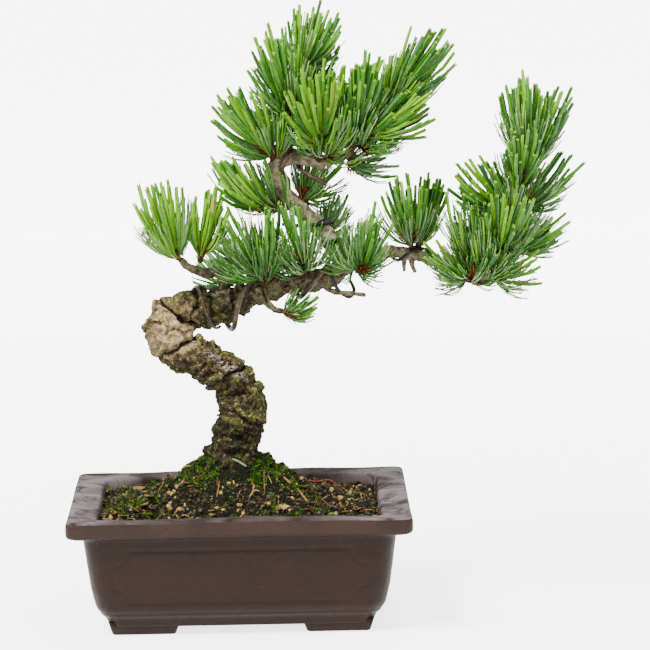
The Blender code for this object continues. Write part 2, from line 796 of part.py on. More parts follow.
def build_stems():
    """Stems of all masses, the later ones of a mass branching from its first."""
    for name, shoots in MASSES.items():
        stems = []
        for bearer, leave, tip, needle, wanted, lean, fan in shoots:
            if stems:
                start = stems[0][1, :3]
                heading = unit(np.asarray(tip) - start)
            elif leave is None:
                start, heading = end_of(bearer)
                start = start + heading * GAP
            else:
                start, heading = seat(bearer, leave, tip, STEM_ROOT)
            course = shoot_course(start, heading, tip)
            stems.append(course)
            for i in range(len(course) - 1):
                CAPSULES.append((name, course[i, :3], course[i + 1, :3], course[i, 3]))
        STEMS[name] = stems


def tuft_axis(tip, lean):
    """Way that a tuft points: leant to the side, and away from the middle plane of the crown."""
    depth = max(-DEEPEST_LEAN, min(DEEPEST_LEAN, tip[1] * DEPTH_LEAN))
    return unit((math.sin(math.radians(lean)), depth, math.cos(math.radians(lean))))


def grow_sprays(name, course, shoot, rule, taken):
    """Sprays of needles round one stem, those left out that would touch anything else."""
    needle, wanted, lean, fan = shoot[3:]
    last = len(course) - 1
    axis = tuft_axis(shoot[2], lean)
    side = unit(np.cross(axis, (0.21, 0.93, 0.3)))
    other = np.cross(axis, side)
    grown = []
    wanted = round(wanted * SPRAY_SHARE)
    for attempt in range(wanted * 8):
        share = 1 - (attempt % (wanted * 2)) / (wanted * 2)
        along = (0.45 + 0.5 * share) * last
        low = min(int(along), last - 1)
        root = course[low, :3] + (course[low + 1, :3] - course[low, :3]) * (along - low)
        around = attempt * GOLDEN_ANGLE + rule.uniform(-0.3, 0.3)
        spread = math.radians(fan * (1.06 - 0.95 * share ** 1.2) + rule.uniform(-7, 7))
        outward = side * math.cos(around) + other * math.sin(around)
        root = root + outward * ROOT_OFFSET
        heading = axis * math.cos(spread) + outward * math.sin(spread)
        heading[2] = max(heading[2], LOWEST_HEADING)
        heading = unit(heading)
        length = needle * (0.82 + 0.2 * share) * rule.uniform(0.93, 1.05)
        end = root + heading * length
        if any(np.linalg.norm(end - was) < SPRAY_SPACING for was in taken):
            continue
        if end[2] < LOWEST_NEEDLE or abs(end[1]) > POT_DEPTH / 2 - 2:
            continue
        if not is_clear(name, root, end, SPRAY_TIP, GAP):
            continue
        taken.append(end)
        grown.append(spray_solid(root, heading, length))
        CAPSULES.append((name, root, end, SPRAY_TIP))
        if len(grown) == wanted:
            break
    return grown


def build_foliage():
    """Masses of needles, each a few shoots on one stem with sprays that stand clear of all else."""
    for number, (name, shoots) in enumerate(MASSES.items()):
        rule = random.Random(number * 17 + 3)
        pieces = [loose_object("stem", tube("stem", course, 4)) for course in STEMS[name]]
        taken = []
        for shoot, course in zip(shoots, STEMS[name]):
            sprays = grow_sprays(name, course, shoot, rule, taken)
            pieces.extend(sprays)
            print(name, len(sprays), "of", shoot[4])
        finish = NEEDLE_GREENS[number % len(NEEDLE_GREENS)]
        mass = add_object(name, pieces[0].data, finish, smooth=False)
        bpy.data.objects.remove(pieces[0])
        mesh = join_solids(mass, pieces[1:])
        mesh.materials.clear()
        mesh.materials.append(finish)


def centre_plant():
    """Stand the plant on the ground with the middle of its box at the origin."""
    low = np.full(3, 1e9)
    high = -low
    for thing in plant.objects:
        corners = np.array([tuple(v.co) for v in thing.data.vertices])
        low = np.minimum(low, corners.min(axis=0))
        high = np.maximum(high, corners.max(axis=0))
    holder = bpy.data.objects.new("plant_stand", None)
    plant.objects.link(holder)
    holder.location = (-(low[0] + high[0]) / 2, -(low[1] + high[1]) / 2, -low[2])
    for thing in plant.objects:
        if thing is not holder:
            thing.parent = holder
    print("box", np.round((high - low) / MM, 1), "pot middle", np.round(np.array(holder.location) / MM, 2))


for old in list(bpy.data.objects):
    bpy.data.objects.remove(old)

plant = bpy.data.collections.new("white_pine_bonsai")
bpy.context.scene.collection.children.link(plant)

GLAZE = new_material("pot_brown", (0.075, 0.045, 0.036), 0.42)
SOIL = new_material("soil_dark", (0.035, 0.026, 0.016), 0.95)
BARK = new_material("bark_grey_brown", (0.16, 0.12, 0.075), 0.9)
PALE_BARK = new_material("bark_pale_grey", (0.27, 0.23, 0.18), 0.8)
BROWN_WIRE = new_material("wire_brown", (0.13, 0.085, 0.06), 0.45, 0.6)
BLACK_WIRE = new_material("wire_black", (0.02, 0.02, 0.02), 0.5, 0.5)
NEEDLE_GREENS = (
    new_material("needle_green", (0.11, 0.29, 0.035), 0.5),
    new_material("needle_light_green", (0.2, 0.4, 0.07), 0.5),
    new_material("needle_blue_green", (0.09, 0.24, 0.07), 0.5),
)

COURSES = {}
SKINS = {}
CAPSULES = []
STEMS = {}

build_pot()
build_soil()
build_trunk()
build_boughs()
build_stems()
build_wires()
build_foliage()
centre_plant()
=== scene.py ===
"""Japanese white pine bonsai in a rectangular footed pot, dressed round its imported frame.

All lengths in the tables are millimetres, measured from the middle of the pot at the height of its
feet: x runs to the right, y away from the front, z up. Pieces are built in metres, in the frame's
own place.
"""

import logging
import math
import random
from dataclasses import dataclass, field
from enum import Enum
from typing import NamedTuple, Sequence

import bmesh
import bpy
import numpy as np
from bpy.types import Material, Node, NodeSocket, Object
from mathutils import Matrix, Vector, noise
from mathutils.bvhtree import BVHTree
from mathutils.kdtree import KDTree
from numpy import ndarray
from numpy.random import Generator, default_rng


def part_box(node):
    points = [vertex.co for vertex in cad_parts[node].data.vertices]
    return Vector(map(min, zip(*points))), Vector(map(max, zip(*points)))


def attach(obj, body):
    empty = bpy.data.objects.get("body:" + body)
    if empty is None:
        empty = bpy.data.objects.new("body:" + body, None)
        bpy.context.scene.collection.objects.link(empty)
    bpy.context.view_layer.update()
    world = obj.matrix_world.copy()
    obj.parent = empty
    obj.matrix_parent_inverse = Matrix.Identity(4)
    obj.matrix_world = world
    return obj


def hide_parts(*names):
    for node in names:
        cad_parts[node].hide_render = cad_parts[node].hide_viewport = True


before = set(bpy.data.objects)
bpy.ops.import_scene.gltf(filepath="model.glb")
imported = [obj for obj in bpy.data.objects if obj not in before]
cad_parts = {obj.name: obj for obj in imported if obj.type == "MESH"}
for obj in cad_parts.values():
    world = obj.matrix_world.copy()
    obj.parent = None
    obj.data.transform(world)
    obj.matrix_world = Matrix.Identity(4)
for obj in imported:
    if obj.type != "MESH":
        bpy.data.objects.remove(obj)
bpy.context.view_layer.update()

LOG = logging.getLogger("bonsai")
MM = 0.001
UP = np.array([0.0, 0.0, 1.0])
GOLDEN_ANGLE = math.radians(137.508)

POT_WIDTH = 180.0
POT_DEPTH = 135.4
# Signs of x and y in the four quarters, counter-clockwise
QUARTERS = ((1, 1), (-1, 1), (-1, -1), (1, -1))

POT_LOW, POT_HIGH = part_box("pot")
POT_MIDDLE = np.array([(POT_LOW[0] + POT_HIGH[0]) / 2, (POT_LOW[1] + POT_HIGH[1]) / 2, POT_LOW[2]])

# Trunk course from the ground to the top: x, y, z and half the thickness
TRUNK_COURSE = (
    (-2, 0, 85.3, 12.2), (-1.8, 0, 90, 11.8), (-1, 0, 97, 12.0), (2.5, -1, 104, 11.6),
    (3.8, -2, 112, 12.0), (-0.5, -3, 122, 11.3), (-6, -5, 131, 11.2), (-17, -8, 138, 11.2),
    (-27, -10, 144, 11.0), (-35.5, -9, 149.2, 11.0), (-40, -6, 156, 10.0), (-36, 1, 163, 9.2),
    (-26.5, 7, 164.4, 10.4), (-16, 8, 165.2, 10.4), (-6, 7, 167, 9.4), (5, 6, 171, 7.2),
    (17, 5, 175, 6.5), (30, 3, 177.5, 5.4), (43, 0, 180, 6.0), (53, 0, 183.5, 5.8),
    (57, 2, 190, 5.4), (52, 5, 198.5, 5.3), (44, 8, 208, 4.9), (35, 6, 217, 4.6),
    (27, 2, 225.5, 4.6), (22, -2, 234, 4.7), (23, -3, 242, 4.3), (30, -2, 245.5, 3.8),
    (40, 0, 244, 3.5), (48, 1.5, 242.5, 3.9),
)
TRUNK_STEP = 3.6
# Stations of the course where the trunk doubles back and where it turns up again
HAIRPIN = 10
ELBOW = 20

# Boughs: bearer, where they leave it, their course, half the thickness at both ends
BOUGHS = {
    "bough_left": ("trunk_middle", (-4, 7, 168),
                   ((-8, 4, 183), (-17, 0, 185), (-25, -3, 189), (-29, -5, 193)), 2.9, 1.9),
    "bough_low": ("trunk_middle", (13, 5, 174),
                  ((16, 0, 169), (20, -3, 165.5), (24, -5, 164.5)), 2.2, 1.6),
    "bough_right": ("trunk_middle", (53, 0, 184),
                    ((62, 1, 188.5), (69, 2, 191.8), (80, 2, 194.2), (91, 0, 193.8),
                     (101, -2, 191.2), (111, -4, 186.5), (121, -4, 181), (130, -3, 178.4)),
                    3.9, 2.5),
    "bough_tip": ("bough_right", None,
                  ((137.5, -2, 182), (143, 0, 193), (146.8, 0, 209), (150.6, 0, 222),
                   (153.3, 0, 234)), 2.4, 1.3),
    "bough_leader": ("trunk_upper", None,
                     ((57.7, -1, 245.5), (66.8, -1, 254.4), (76.5, 0, 266.3)), 2.7, 1.6),
    "bough_apex": ("trunk_upper", (30, -2, 246),
                   ((29.4, -1, 255), (30.5, 1, 262), (34, 4, 278), (36.8, 6, 290)), 2.2, 1.4),
    "dead_twig": ("trunk_middle", (46, 0, 181),
                  ((49, -4, 175.5), (58, -7, 174), (68.7, -8, 173)), 1.9, 1.1),
    "stub_left": ("bough_right", (89.3, 0, 194), ((89.3, -0.5, 188), (89.5, -1, 183.9)), 1.4, 1.1),
    "stub_right": ("bough_right", (93, 0, 193.5),
                   ((93.6, -0.5, 187.5), (95.4, -1, 183.3)), 1.5, 1.2),
}


class Shoot(NamedTuple):
    """One shoot of a mass of foliage.

    It leaves its bearer at a place, or goes on from its end where that is None. The bearer is a
    limb, or else the mass's first stem: named stem, or twig where the shoot is a finer one. The
    tuft leans to the right from upright and opens in a fan, of which half the angle is given, in
    degrees.
    """

    bearer: str
    leave: tuple | None
    tip: tuple
    needle: float
    sprays: int
    lean: float
    fan: float


# Masses of foliage, by the piece that they are joined into: number of its draws, how much brighter
# than most it is as painted light, whether its bundles mostly stand open with sky between, and its
# shoots
GROVES = {
    "left": {
        "left_outer": (0, 0.5, False, ("bough_left", None, (-27, -9, 200), 42, 20, -15, 32)),
        "left_inner": (
            1, 0.5, False, ("bough_left", (-19, -1, 191), (-17, -3, 198), 33, 16, 14, 31)),
        "left_back": (
            2, -0.1, True, ("trunk_middle", (-7, 8, 171), (-2, 26, 181), 25, 12, -60, 30)),
        "mid_left": (
            3, -0.2, True, ("trunk_middle", (14, 5, 175), (12, -12, 192), 35, 18, -27, 44),
            ("stem", None, (5, 15, 187), 30, 10, -60, 34),
            ("twig", None, (17, -14, 187), 41, 14, 4, 30)),
        "mid_right": (
            4, -0.22, True, ("trunk_middle", (40, 3, 179), (34, -14, 195), 34, 16, -12, 48),
            ("twig", None, (28, -10, 188), 27, 8, -20, 58)),
        "low": (32, -0.1, True, ("bough_low", None, (27, -8, 164.5), 18, 12, 62, 44)),
    },
    "inner": {
        "inner_left": (
            5, -0.1, False, ("trunk_upper", (34, 7, 218), (14, -10, 221), 34, 18, -41, 36),
            ("twig", None, (7, -6, 220), 35, 11, -36, 28)),
        "inner_back": (
            6, -0.1, True, ("trunk_upper", (35, 7, 218), (40, 18, 226), 27, 12, 45, 62),
            ("twig", None, (37, 6, 227), 26, 8, 12, 60)),
        "inner_right": (
            7, -0.1, True, ("trunk_upper", (52, 6, 198), (48, 22, 207), 25, 12, 28, 40)),
        "front": (
            20, -0.15, True, ("trunk_middle", (57, 0, 186), (68, -21, 190), 29, 18, 8, 78),
            ("twig", None, (67, -16, 190), 38, 11, 12, 26)),
        "right_low": (
            21, 0.05, False, ("bough_right", (94, 0, 193), (92, -8, 205), 34, 14, -13, 32),
            ("stem", None, (101, 7, 203), 32, 14, 12, 27)),
    },
    "apex": {
        "apex_left": (
            8, 0.1, False, ("trunk_upper", (22, -3, 242), (16, -10, 255), 37, 22, -37, 40),
            ("twig", None, (24, -6, 250), 30, 9, 4, 30)),
        "apex_top": (9, 0.06, False, ("bough_apex", None, (39, 6, 292), 33, 22, 18, 42)),
        "apex_upper_left": (
            10, 0.06, False, ("bough_apex", (31, 2, 263), (29, -8, 279), 39, 20, -13, 32),
            ("twig", None, (26, -4, 268), 32, 8, -36, 30)),
        "apex_upper_back": (
            11, -0.1, False, ("bough_apex", (33, 3, 271), (42, 18, 282), 35, 17, 5, 44)),
        "apex_front": (
            12, 0.08, False, ("trunk_upper", (44, 0, 243), (45, -19, 260), 36, 18, -12, 44),
            ("twig", None, (52, -12, 249), 27, 9, 22, 58)),
        "apex_inner": (
            13, 0.04, False, ("trunk_upper", (40, 0, 244), (49, -4, 261), 36, 18, 10, 42)),
        "apex_back": (
            14, -0.1, False, ("trunk_upper", (43, 0, 244), (49, 26, 258), 36, 20, 10, 46),
            ("twig", None, (40, 14, 250), 28, 8, -6, 50)),
    },
    "leader": {
        "leader_left": (
            15, -0.16, False, ("bough_leader", (62, -2, 249), (66, -8, 268), 36, 18, 10, 34),
            ("twig", None, (60, -10, 254), 28, 8, 4, 46)),
        "leader_tip": (16, -0.1, False, ("bough_leader", None, (89, -2, 283), 38, 22, 38, 36)),
        "leader_back": (
            17, -0.16, False, ("bough_leader", (71, 0, 260), (83, 18, 269), 34, 18, 34, 42)),
        "leader_front": (
            18, -0.1, False, ("bough_leader", (65, -1, 252), (76, -15, 262), 34, 16, 62, 40),
            ("twig", None, (70, -10, 250), 26, 8, 50, 50)),
        "leader_low": (
            19, -0.1, True, ("bough_leader", (59, -1, 247), (64, 9, 240.5), 25, 10, 98, 46)),
    },
    "tip_low": {
        "tip_low": (
            22, -0.1, True, ("bough_right", (124, -4, 179), (121, -13, 185), 28, 14, -54, 46),
            ("stem", None, (131, -16, 190), 33, 14, -4, 50),
            ("twig", None, (126, -20, 182), 26, 8, 30, 60)),
        "tip_under": (
            23, -0.1, True, ("bough_tip", (136, -2, 182), (136, -14, 183), 29, 13, 66, 46)),
        "tip_front": (
            24, -0.1, False, ("bough_tip", (142, 0, 191), (139, -18, 199), 36, 18, 8, 44),
            ("twig", None, (119, -14, 193), 39, 14, -12, 30)),
        "tip_outer": (25, -0.1, True, ("bough_tip", (144, 0, 197), (150, 6, 194), 32, 18, 58, 42)),
        "tip_back": (
            31, -0.1, True, ("bough_tip", (145, 0, 202), (144, 22, 210), 34, 16, -2, 50),
            ("twig", None, (140, 10, 198), 28, 8, 8, 56)),
    },
    "tip_high": {
        "tip_top": (26, 0.0, False, ("bough_tip", None, (154, -3, 250), 40, 20, -2, 27)),
        "tip_upper_right": (
            27, -0.1, False, ("bough_tip", (152, 0, 228), (160, 5, 249), 36, 18, 25, 26)),
        "tip_upper_left": (
            28, -0.1, False, ("bough_tip", (151, 0, 221), (150, -11, 236), 28, 15, 2, 34)),
        "tip_left": (
            29, -0.1, False, ("bough_tip", (147, 0, 208), (141, -8, 220), 33, 18, -46, 42),
            ("twig", None, (134, -4, 206), 27, 8, -30, 46)),
        "tip_right": (30, -0.1, True, ("bough_tip", (149, 0, 216), (157, 9, 219), 35, 13, 50, 36)),
    },
}


def tone(colour: tuple) -> tuple:
    """Linear red, green and blue with full cover, from screen values of 0 to 255."""
    parts = [part / 255 for part in colour]
    return (*(p / 12.92 if p < 0.04 else ((p + 0.055) / 1.055) ** 2.4 for p in parts), 1.0)


def unit(vectors: ndarray) -> ndarray:
    """Vectors of length one, along the last axis."""
    vectors = np.asarray(vectors, dtype=float)
    return vectors / np.maximum(np.linalg.norm(vectors, axis=-1, keepdims=True), 1e-9)


def placed(points: ndarray) -> ndarray:
    """Points of the tables' millimetres in the frame's metres."""
    return np.asarray(points, dtype=float)[..., :3] * MM + POT_MIDDLE


def smooth_course(points: Sequence, step: float) -> ndarray:
    """Even stations along a smooth course through the points.

    Args:
        points: Rows of x, y, z and any further columns.
        step: Wanted distance between stations.

    Returns:
        Rows like those given, evenly spaced.
    """
    points = np.asarray(points, dtype=float)
    padded = np.vstack((2 * points[0] - points[1], points, 2 * points[-1] - points[-2]))
    dense = []
    for i in range(1, len(padded) - 2):
        a, b, c, d = padded[i - 1:i + 3]
        t = np.linspace(0, 1, 24, endpoint=False)[:, None]
        dense.append(0.5 * (2 * b + (c - a) * t + (2 * a - 5 * b + 4 * c - d) * t ** 2
                            + (3 * b - a - 3 * c + d) * t ** 3))
    dense = np.vstack((*dense, points[-1]))
    run = distance_along(dense)
    count = max(3, int(round(run[-1] / step)) + 1)
    wanted = np.linspace(0, run[-1], count)
    return np.column_stack([np.interp(wanted, run, column) for column in dense.T])


def distance_along(course: ndarray) -> ndarray:
    """Distance of each station from the first."""
    steps = np.linalg.norm(np.diff(course[:, :3], axis=0), axis=1)
    return np.concatenate(([0], np.cumsum(steps)))


def tangents(course: ndarray) -> ndarray:
    """Unit headings along the course."""
    return unit(np.gradient(course[:, :3], axis=0))


def frames(course: ndarray) -> tuple[ndarray, ndarray, ndarray]:
    """Headings and a pair of cross axes carried along a course without twist.

    Args:
        course: Stations of the course.

    Returns:
        Headings, first and second cross axes.
    """
    flow = tangents(course)
    side = np.cross(flow[0], (0, 1, 0.01))
    sides = []
    for heading in flow:
        side = unit(side - heading * np.dot(side, heading))
        sides.append(side)
    sides = np.array(sides)
    return flow, sides, np.cross(flow, sides)


@dataclass
class Stock:
    """Corners and faces gathered for one piece, with the number of each face's finish."""

    corners: list = field(default_factory=list)
    faces: dict = field(default_factory=lambda: {3: [], 4: []})
    finishes: dict = field(default_factory=lambda: {3: [], 4: []})
    count: int = 0

    def add(self, corners: ndarray, faces: ndarray, finish: ndarray | int = 0) -> None:
        """Adds faces over corners of their own.

        Args:
            corners: Rows of x, y, z in table millimetres.
            faces: Rows of three or four corner numbers, counted from the first of these corners.
            finish: Finish number of every face, or one for all.
        """
        self.add_faces(faces + self.count, finish)
        self.corners.append(np.asarray(corners, dtype=float).reshape(-1, 3))
        self.count += len(self.corners[-1])

    def add_faces(self, faces: ndarray, finish: ndarray | int = 0) -> None:
        """Adds faces over corners that are already numbered.

        Args:
            faces: Rows of three or four corner numbers.
            finish: Finish number of every face, or one for all.
        """
        size = faces.shape[1]
        self.faces[size].append(faces)
        self.finishes[size].append(np.broadcast_to(finish, len(faces)))

    def tubes(self, course: ndarray, sides: int, finish: int = 0,
              reach: ndarray | None = None) -> None:
        """Adds a round bar along a course, closed at both ends.

        Args:
            course: Stations with half the thickness in the fourth column.
            sides: Corners of each ring.
            finish: Finish number.
            reach: Distance of each ring corner from the course, instead of the fourth column.
        """
        _, side, other = frames(course)
        angle = np.linspace(0, 2 * math.pi, sides, endpoint=False)
        cosine, sine = np.cos(angle)[None, :, None], np.sin(angle)[None, :, None]
        outward = side[:, None] * cosine + other[:, None] * sine
        if reach is None:
            reach = np.repeat(course[:, 3:4], sides, axis=1)
        rings = course[:, None, :3] + outward * reach[..., None]
        self.loft(rings, finish)

    def loft(self, rings: ndarray, finish: int | ndarray = 0, caps: bool = True) -> None:
        """Adds a skin through rings of equally many corners.

        Args:
            rings: Corners by ring, each ring counter-clockwise about the way that the rings go.
            finish: Finish number of the skin, or one number for each strip between two rings.
            caps: Whether a fan closes both ends.
        """
        rings = np.asarray(rings, dtype=float)
        count, sides = rings.shape[:2]
        i, j = np.meshgrid(np.arange(count - 1), np.arange(sides), indexing="ij")
        k = (j + 1) % sides
        quads = np.stack((i * sides + j, i * sides + k, (i + 1) * sides + k, (i + 1) * sides + j),
                         axis=-1)
        number = np.repeat(np.broadcast_to(finish, count - 1), sides)
        corners = rings.reshape(-1, 3)
        if caps:
            corners = np.vstack((corners, rings[0].mean(axis=0), rings[-1].mean(axis=0)))
        base = self.count
        self.add(corners, quads.reshape(-1, 4), number)
        if caps:
            ring = np.arange(sides)
            after = (ring + 1) % sides
            low = np.column_stack((after, ring, np.full(sides, count * sides)))
            last = (count - 1) * sides
            high = np.column_stack((last + ring, last + after, np.full(sides, count * sides + 1)))
            self.add_faces(low + base, number[0])
            self.add_faces(high + base, number[-1])

    def piece(self, name: str, finishes: Sequence[Material], smooth: bool = True,
              metres: bool = False) -> Object:
        """Makes the object.

        Args:
            name: Name of the piece.
            finishes: Materials in the order of the finish numbers.
            smooth: Whether the faces are shaded round.
            metres: Whether the corners are in the frame's metres already.

        Returns:
            The object, linked to the scene.
        """
        corners = np.vstack(self.corners)
        if not metres:
            corners = placed(corners)
        mesh = bpy.data.meshes.new(name)
        mesh.vertices.add(len(corners))
        mesh.vertices.foreach_set("co", corners.astype(np.float32).ravel())
        loops, sizes, numbers = [], [], []
        for size in (3, 4):
            if self.faces[size]:
                rows = np.vstack(self.faces[size])
                loops.append(rows.ravel())
                sizes.append(np.full(len(rows), size))
                numbers.append(np.concatenate(self.finishes[size]))
        loops, sizes, numbers = (np.concatenate(part).astype(np.int32)
                                 for part in (loops, sizes, numbers))
        mesh.loops.add(len(loops))
        mesh.loops.foreach_set("vertex_index", loops)
        mesh.polygons.add(len(sizes))
        starts = np.concatenate(([0], np.cumsum(sizes)[:-1])).astype(np.int32)
        mesh.polygons.foreach_set("loop_start", starts)
        mesh.polygons.foreach_set("material_index", numbers)
        mesh.polygons.foreach_set("use_smooth", np.full(len(sizes), smooth))
        mesh.update(calc_edges=True)
        mesh.validate()
        for finish in finishes:
            mesh.materials.append(finish)
        thing = bpy.data.objects.new(name, mesh)
        bpy.context.scene.collection.objects.link(thing)
        return thing


def settle(piece: Object, slot: str, nodes: Sequence[str] = ()) -> None:
    """Hands a piece to the frame.

    Args:
        piece: The piece, in place.
        slot: Material slot of the record, which is only written to the log.
        nodes: CAD nodes that the piece stands for.
    """
    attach(piece, "root")
    if nodes:
        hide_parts(*nodes)
    faces = len(piece.data.polygons)
    LOG.info("%s: %d faces, slot %s, %d nodes", piece.name, faces, slot, len(nodes))


class Shading:
    """Nodes of one finish, with lengths in millimetres."""

    def __init__(self, name: str, roughness: float, specular: float = 0.5,
                 metallic: float = 0.0) -> None:
        """Starts a finish.

        Args:
            name: Name of the material.
            roughness: Roughness all over.
            specular: Specular level.
            metallic: Metal share.
        """
        self.material = bpy.data.materials.new(name)
        self.material.use_nodes = True
        self.tree = self.material.node_tree
        self.shader = self.tree.nodes["Principled BSDF"]
        self.put(self.shader, {"Roughness": roughness, "Specular IOR Level": specular,
                               "Metallic": metallic})
        coordinates = self.node("TexCoord", {})
        scaled = {0: coordinates.outputs["Object"], "Scale": 1 / MM}
        self.place = self.node("VectorMath", scaled, operation="SCALE").outputs[0]

    def put(self, node: Node, inputs: dict) -> None:
        """Sets or links inputs of a node.

        Args:
            node: The node.
            inputs: Constant or source socket for each input, by the input's name or number.
        """
        for name, value in inputs.items():
            if isinstance(value, NodeSocket):
                self.tree.links.new(value, node.inputs[name])
            else:
                node.inputs[name].default_value = value

    def node(self, kind: str, inputs: dict, **settings: str | bool) -> Node:
        """Adds a node.

        Args:
            kind: Kind of node, without the first part that all shader nodes share.
            inputs: Constant or source socket for each input, by name or number.
            settings: Its settings, by name.

        Returns:
            The node.
        """
        node = self.tree.nodes.new("ShaderNode" + kind)
        for name, value in settings.items():
            setattr(node, name, value)
        self.put(node, inputs)
        return node

    def stretched(self, factors: tuple) -> NodeSocket:
        """Place with its three axes multiplied by factors."""
        return self.node("VectorMath", {0: self.place, 1: factors}, operation="MULTIPLY").outputs[0]

    def noise(self, scale: float, detail: float = 4.0, distortion: float = 0.0,
              stretch: tuple | None = None) -> NodeSocket:
        """Cloudy noise with the given number of clouds a millimetre, from 0 to 1."""
        inputs = {"Scale": scale, "Detail": detail, "Distortion": distortion,
                  "Vector": self.stretched(stretch) if stretch else self.place}
        return self.node("TexNoise", inputs).outputs["Fac"]

    def cells(self, scale: float, feature: str = "F1", warp: float = 0.0) -> NodeSocket:
        """Distance to the nearest point of a scatter, or to the nearest edge between cells.

        Args:
            scale: Cells a millimetre.
            feature: Which distance.
            warp: How far the cells are pushed about, in millimetres.

        Returns:
            The distance, in cells.
        """
        place = self.place
        if warp:
            cloud = self.node("TexNoise", {"Scale": scale * 1.7, "Vector": place})
            push = {0: cloud.outputs["Color"], 1: (warp, warp, warp), 2: place}
            place = self.node("VectorMath", push, operation="MULTIPLY_ADD").outputs[0]
        node = self.node("TexVoronoi", {"Scale": scale, "Vector": place}, feature=feature)
        return node.outputs["Distance"]

    def along(self, axis: str, middle: float) -> NodeSocket:
        """Distance from a plane across one axis.

        Args:
            axis: X, Y or Z.
            middle: Where the plane stands, in metres.

        Returns:
            The distance in millimetres.
        """
        place = self.node("SeparateXYZ", {0: self.place}).outputs[axis]
        off = self.node("Math", {0: place, 1: middle / MM}, operation="SUBTRACT").outputs[0]
        return self.node("Math", {0: off}, operation="ABSOLUTE").outputs[0]

    def attribute(self, name: str) -> NodeSocket:
        """Value stored with each corner of the piece."""
        return self.node("Attribute", {}, attribute_name=name).outputs["Fac"]

    def ramp(self, source: NodeSocket, low: float, high: float) -> NodeSocket:
        """Source stretched so that low becomes 0 and high becomes 1."""
        node = self.node("MapRange", {"Value": source, "From Min": low, "From Max": high})
        return node.outputs["Result"]

    def times(self, first: NodeSocket, second: NodeSocket | float,
              operation: str = "MULTIPLY") -> NodeSocket:
        """Two values joined by arithmetic, held between 0 and 1."""
        node = self.node("Math", {0: first, 1: second}, operation=operation, use_clamp=True)
        return node.outputs[0]

    def blend(self, share: NodeSocket, first: tuple | NodeSocket,
              second: tuple | NodeSocket) -> NodeSocket:
        """Mix of two colours by the share of the second, each a socket or three screen values."""
        pair = [tone(part) if isinstance(part, tuple) else part for part in (first, second)]
        return self.node("Mix", {0: share, 6: pair[0], 7: pair[1]}, data_type="RGBA").outputs[2]

    def colour(self, source: NodeSocket) -> None:
        """Sets the base colour."""
        self.put(self.shader, {"Base Color": source})

    def rough(self, source: NodeSocket, low: float, high: float) -> None:
        """Sets a roughness that varies between two values."""
        node = self.node("MapRange", {"Value": source, "To Min": low, "To Max": high})
        self.put(self.shader, {"Roughness": node.outputs["Result"]})

    def bump(self, height: NodeSocket, depth: float, strength: float = 1.0) -> None:
        """Adds a relief over what is there.

        Args:
            height: Height from 0 to 1.
            depth: Depth in millimetres.
            strength: Strength, below 0 where the height is a depth.
        """
        node = self.node("Bump", {"Height": height, "Distance": depth * MM, "Strength": strength})
        if self.shader.inputs["Normal"].links:
            self.put(node, {"Normal": self.shader.inputs["Normal"].links[0].from_socket})
        self.put(self.shader, {"Normal": node.outputs["Normal"]})


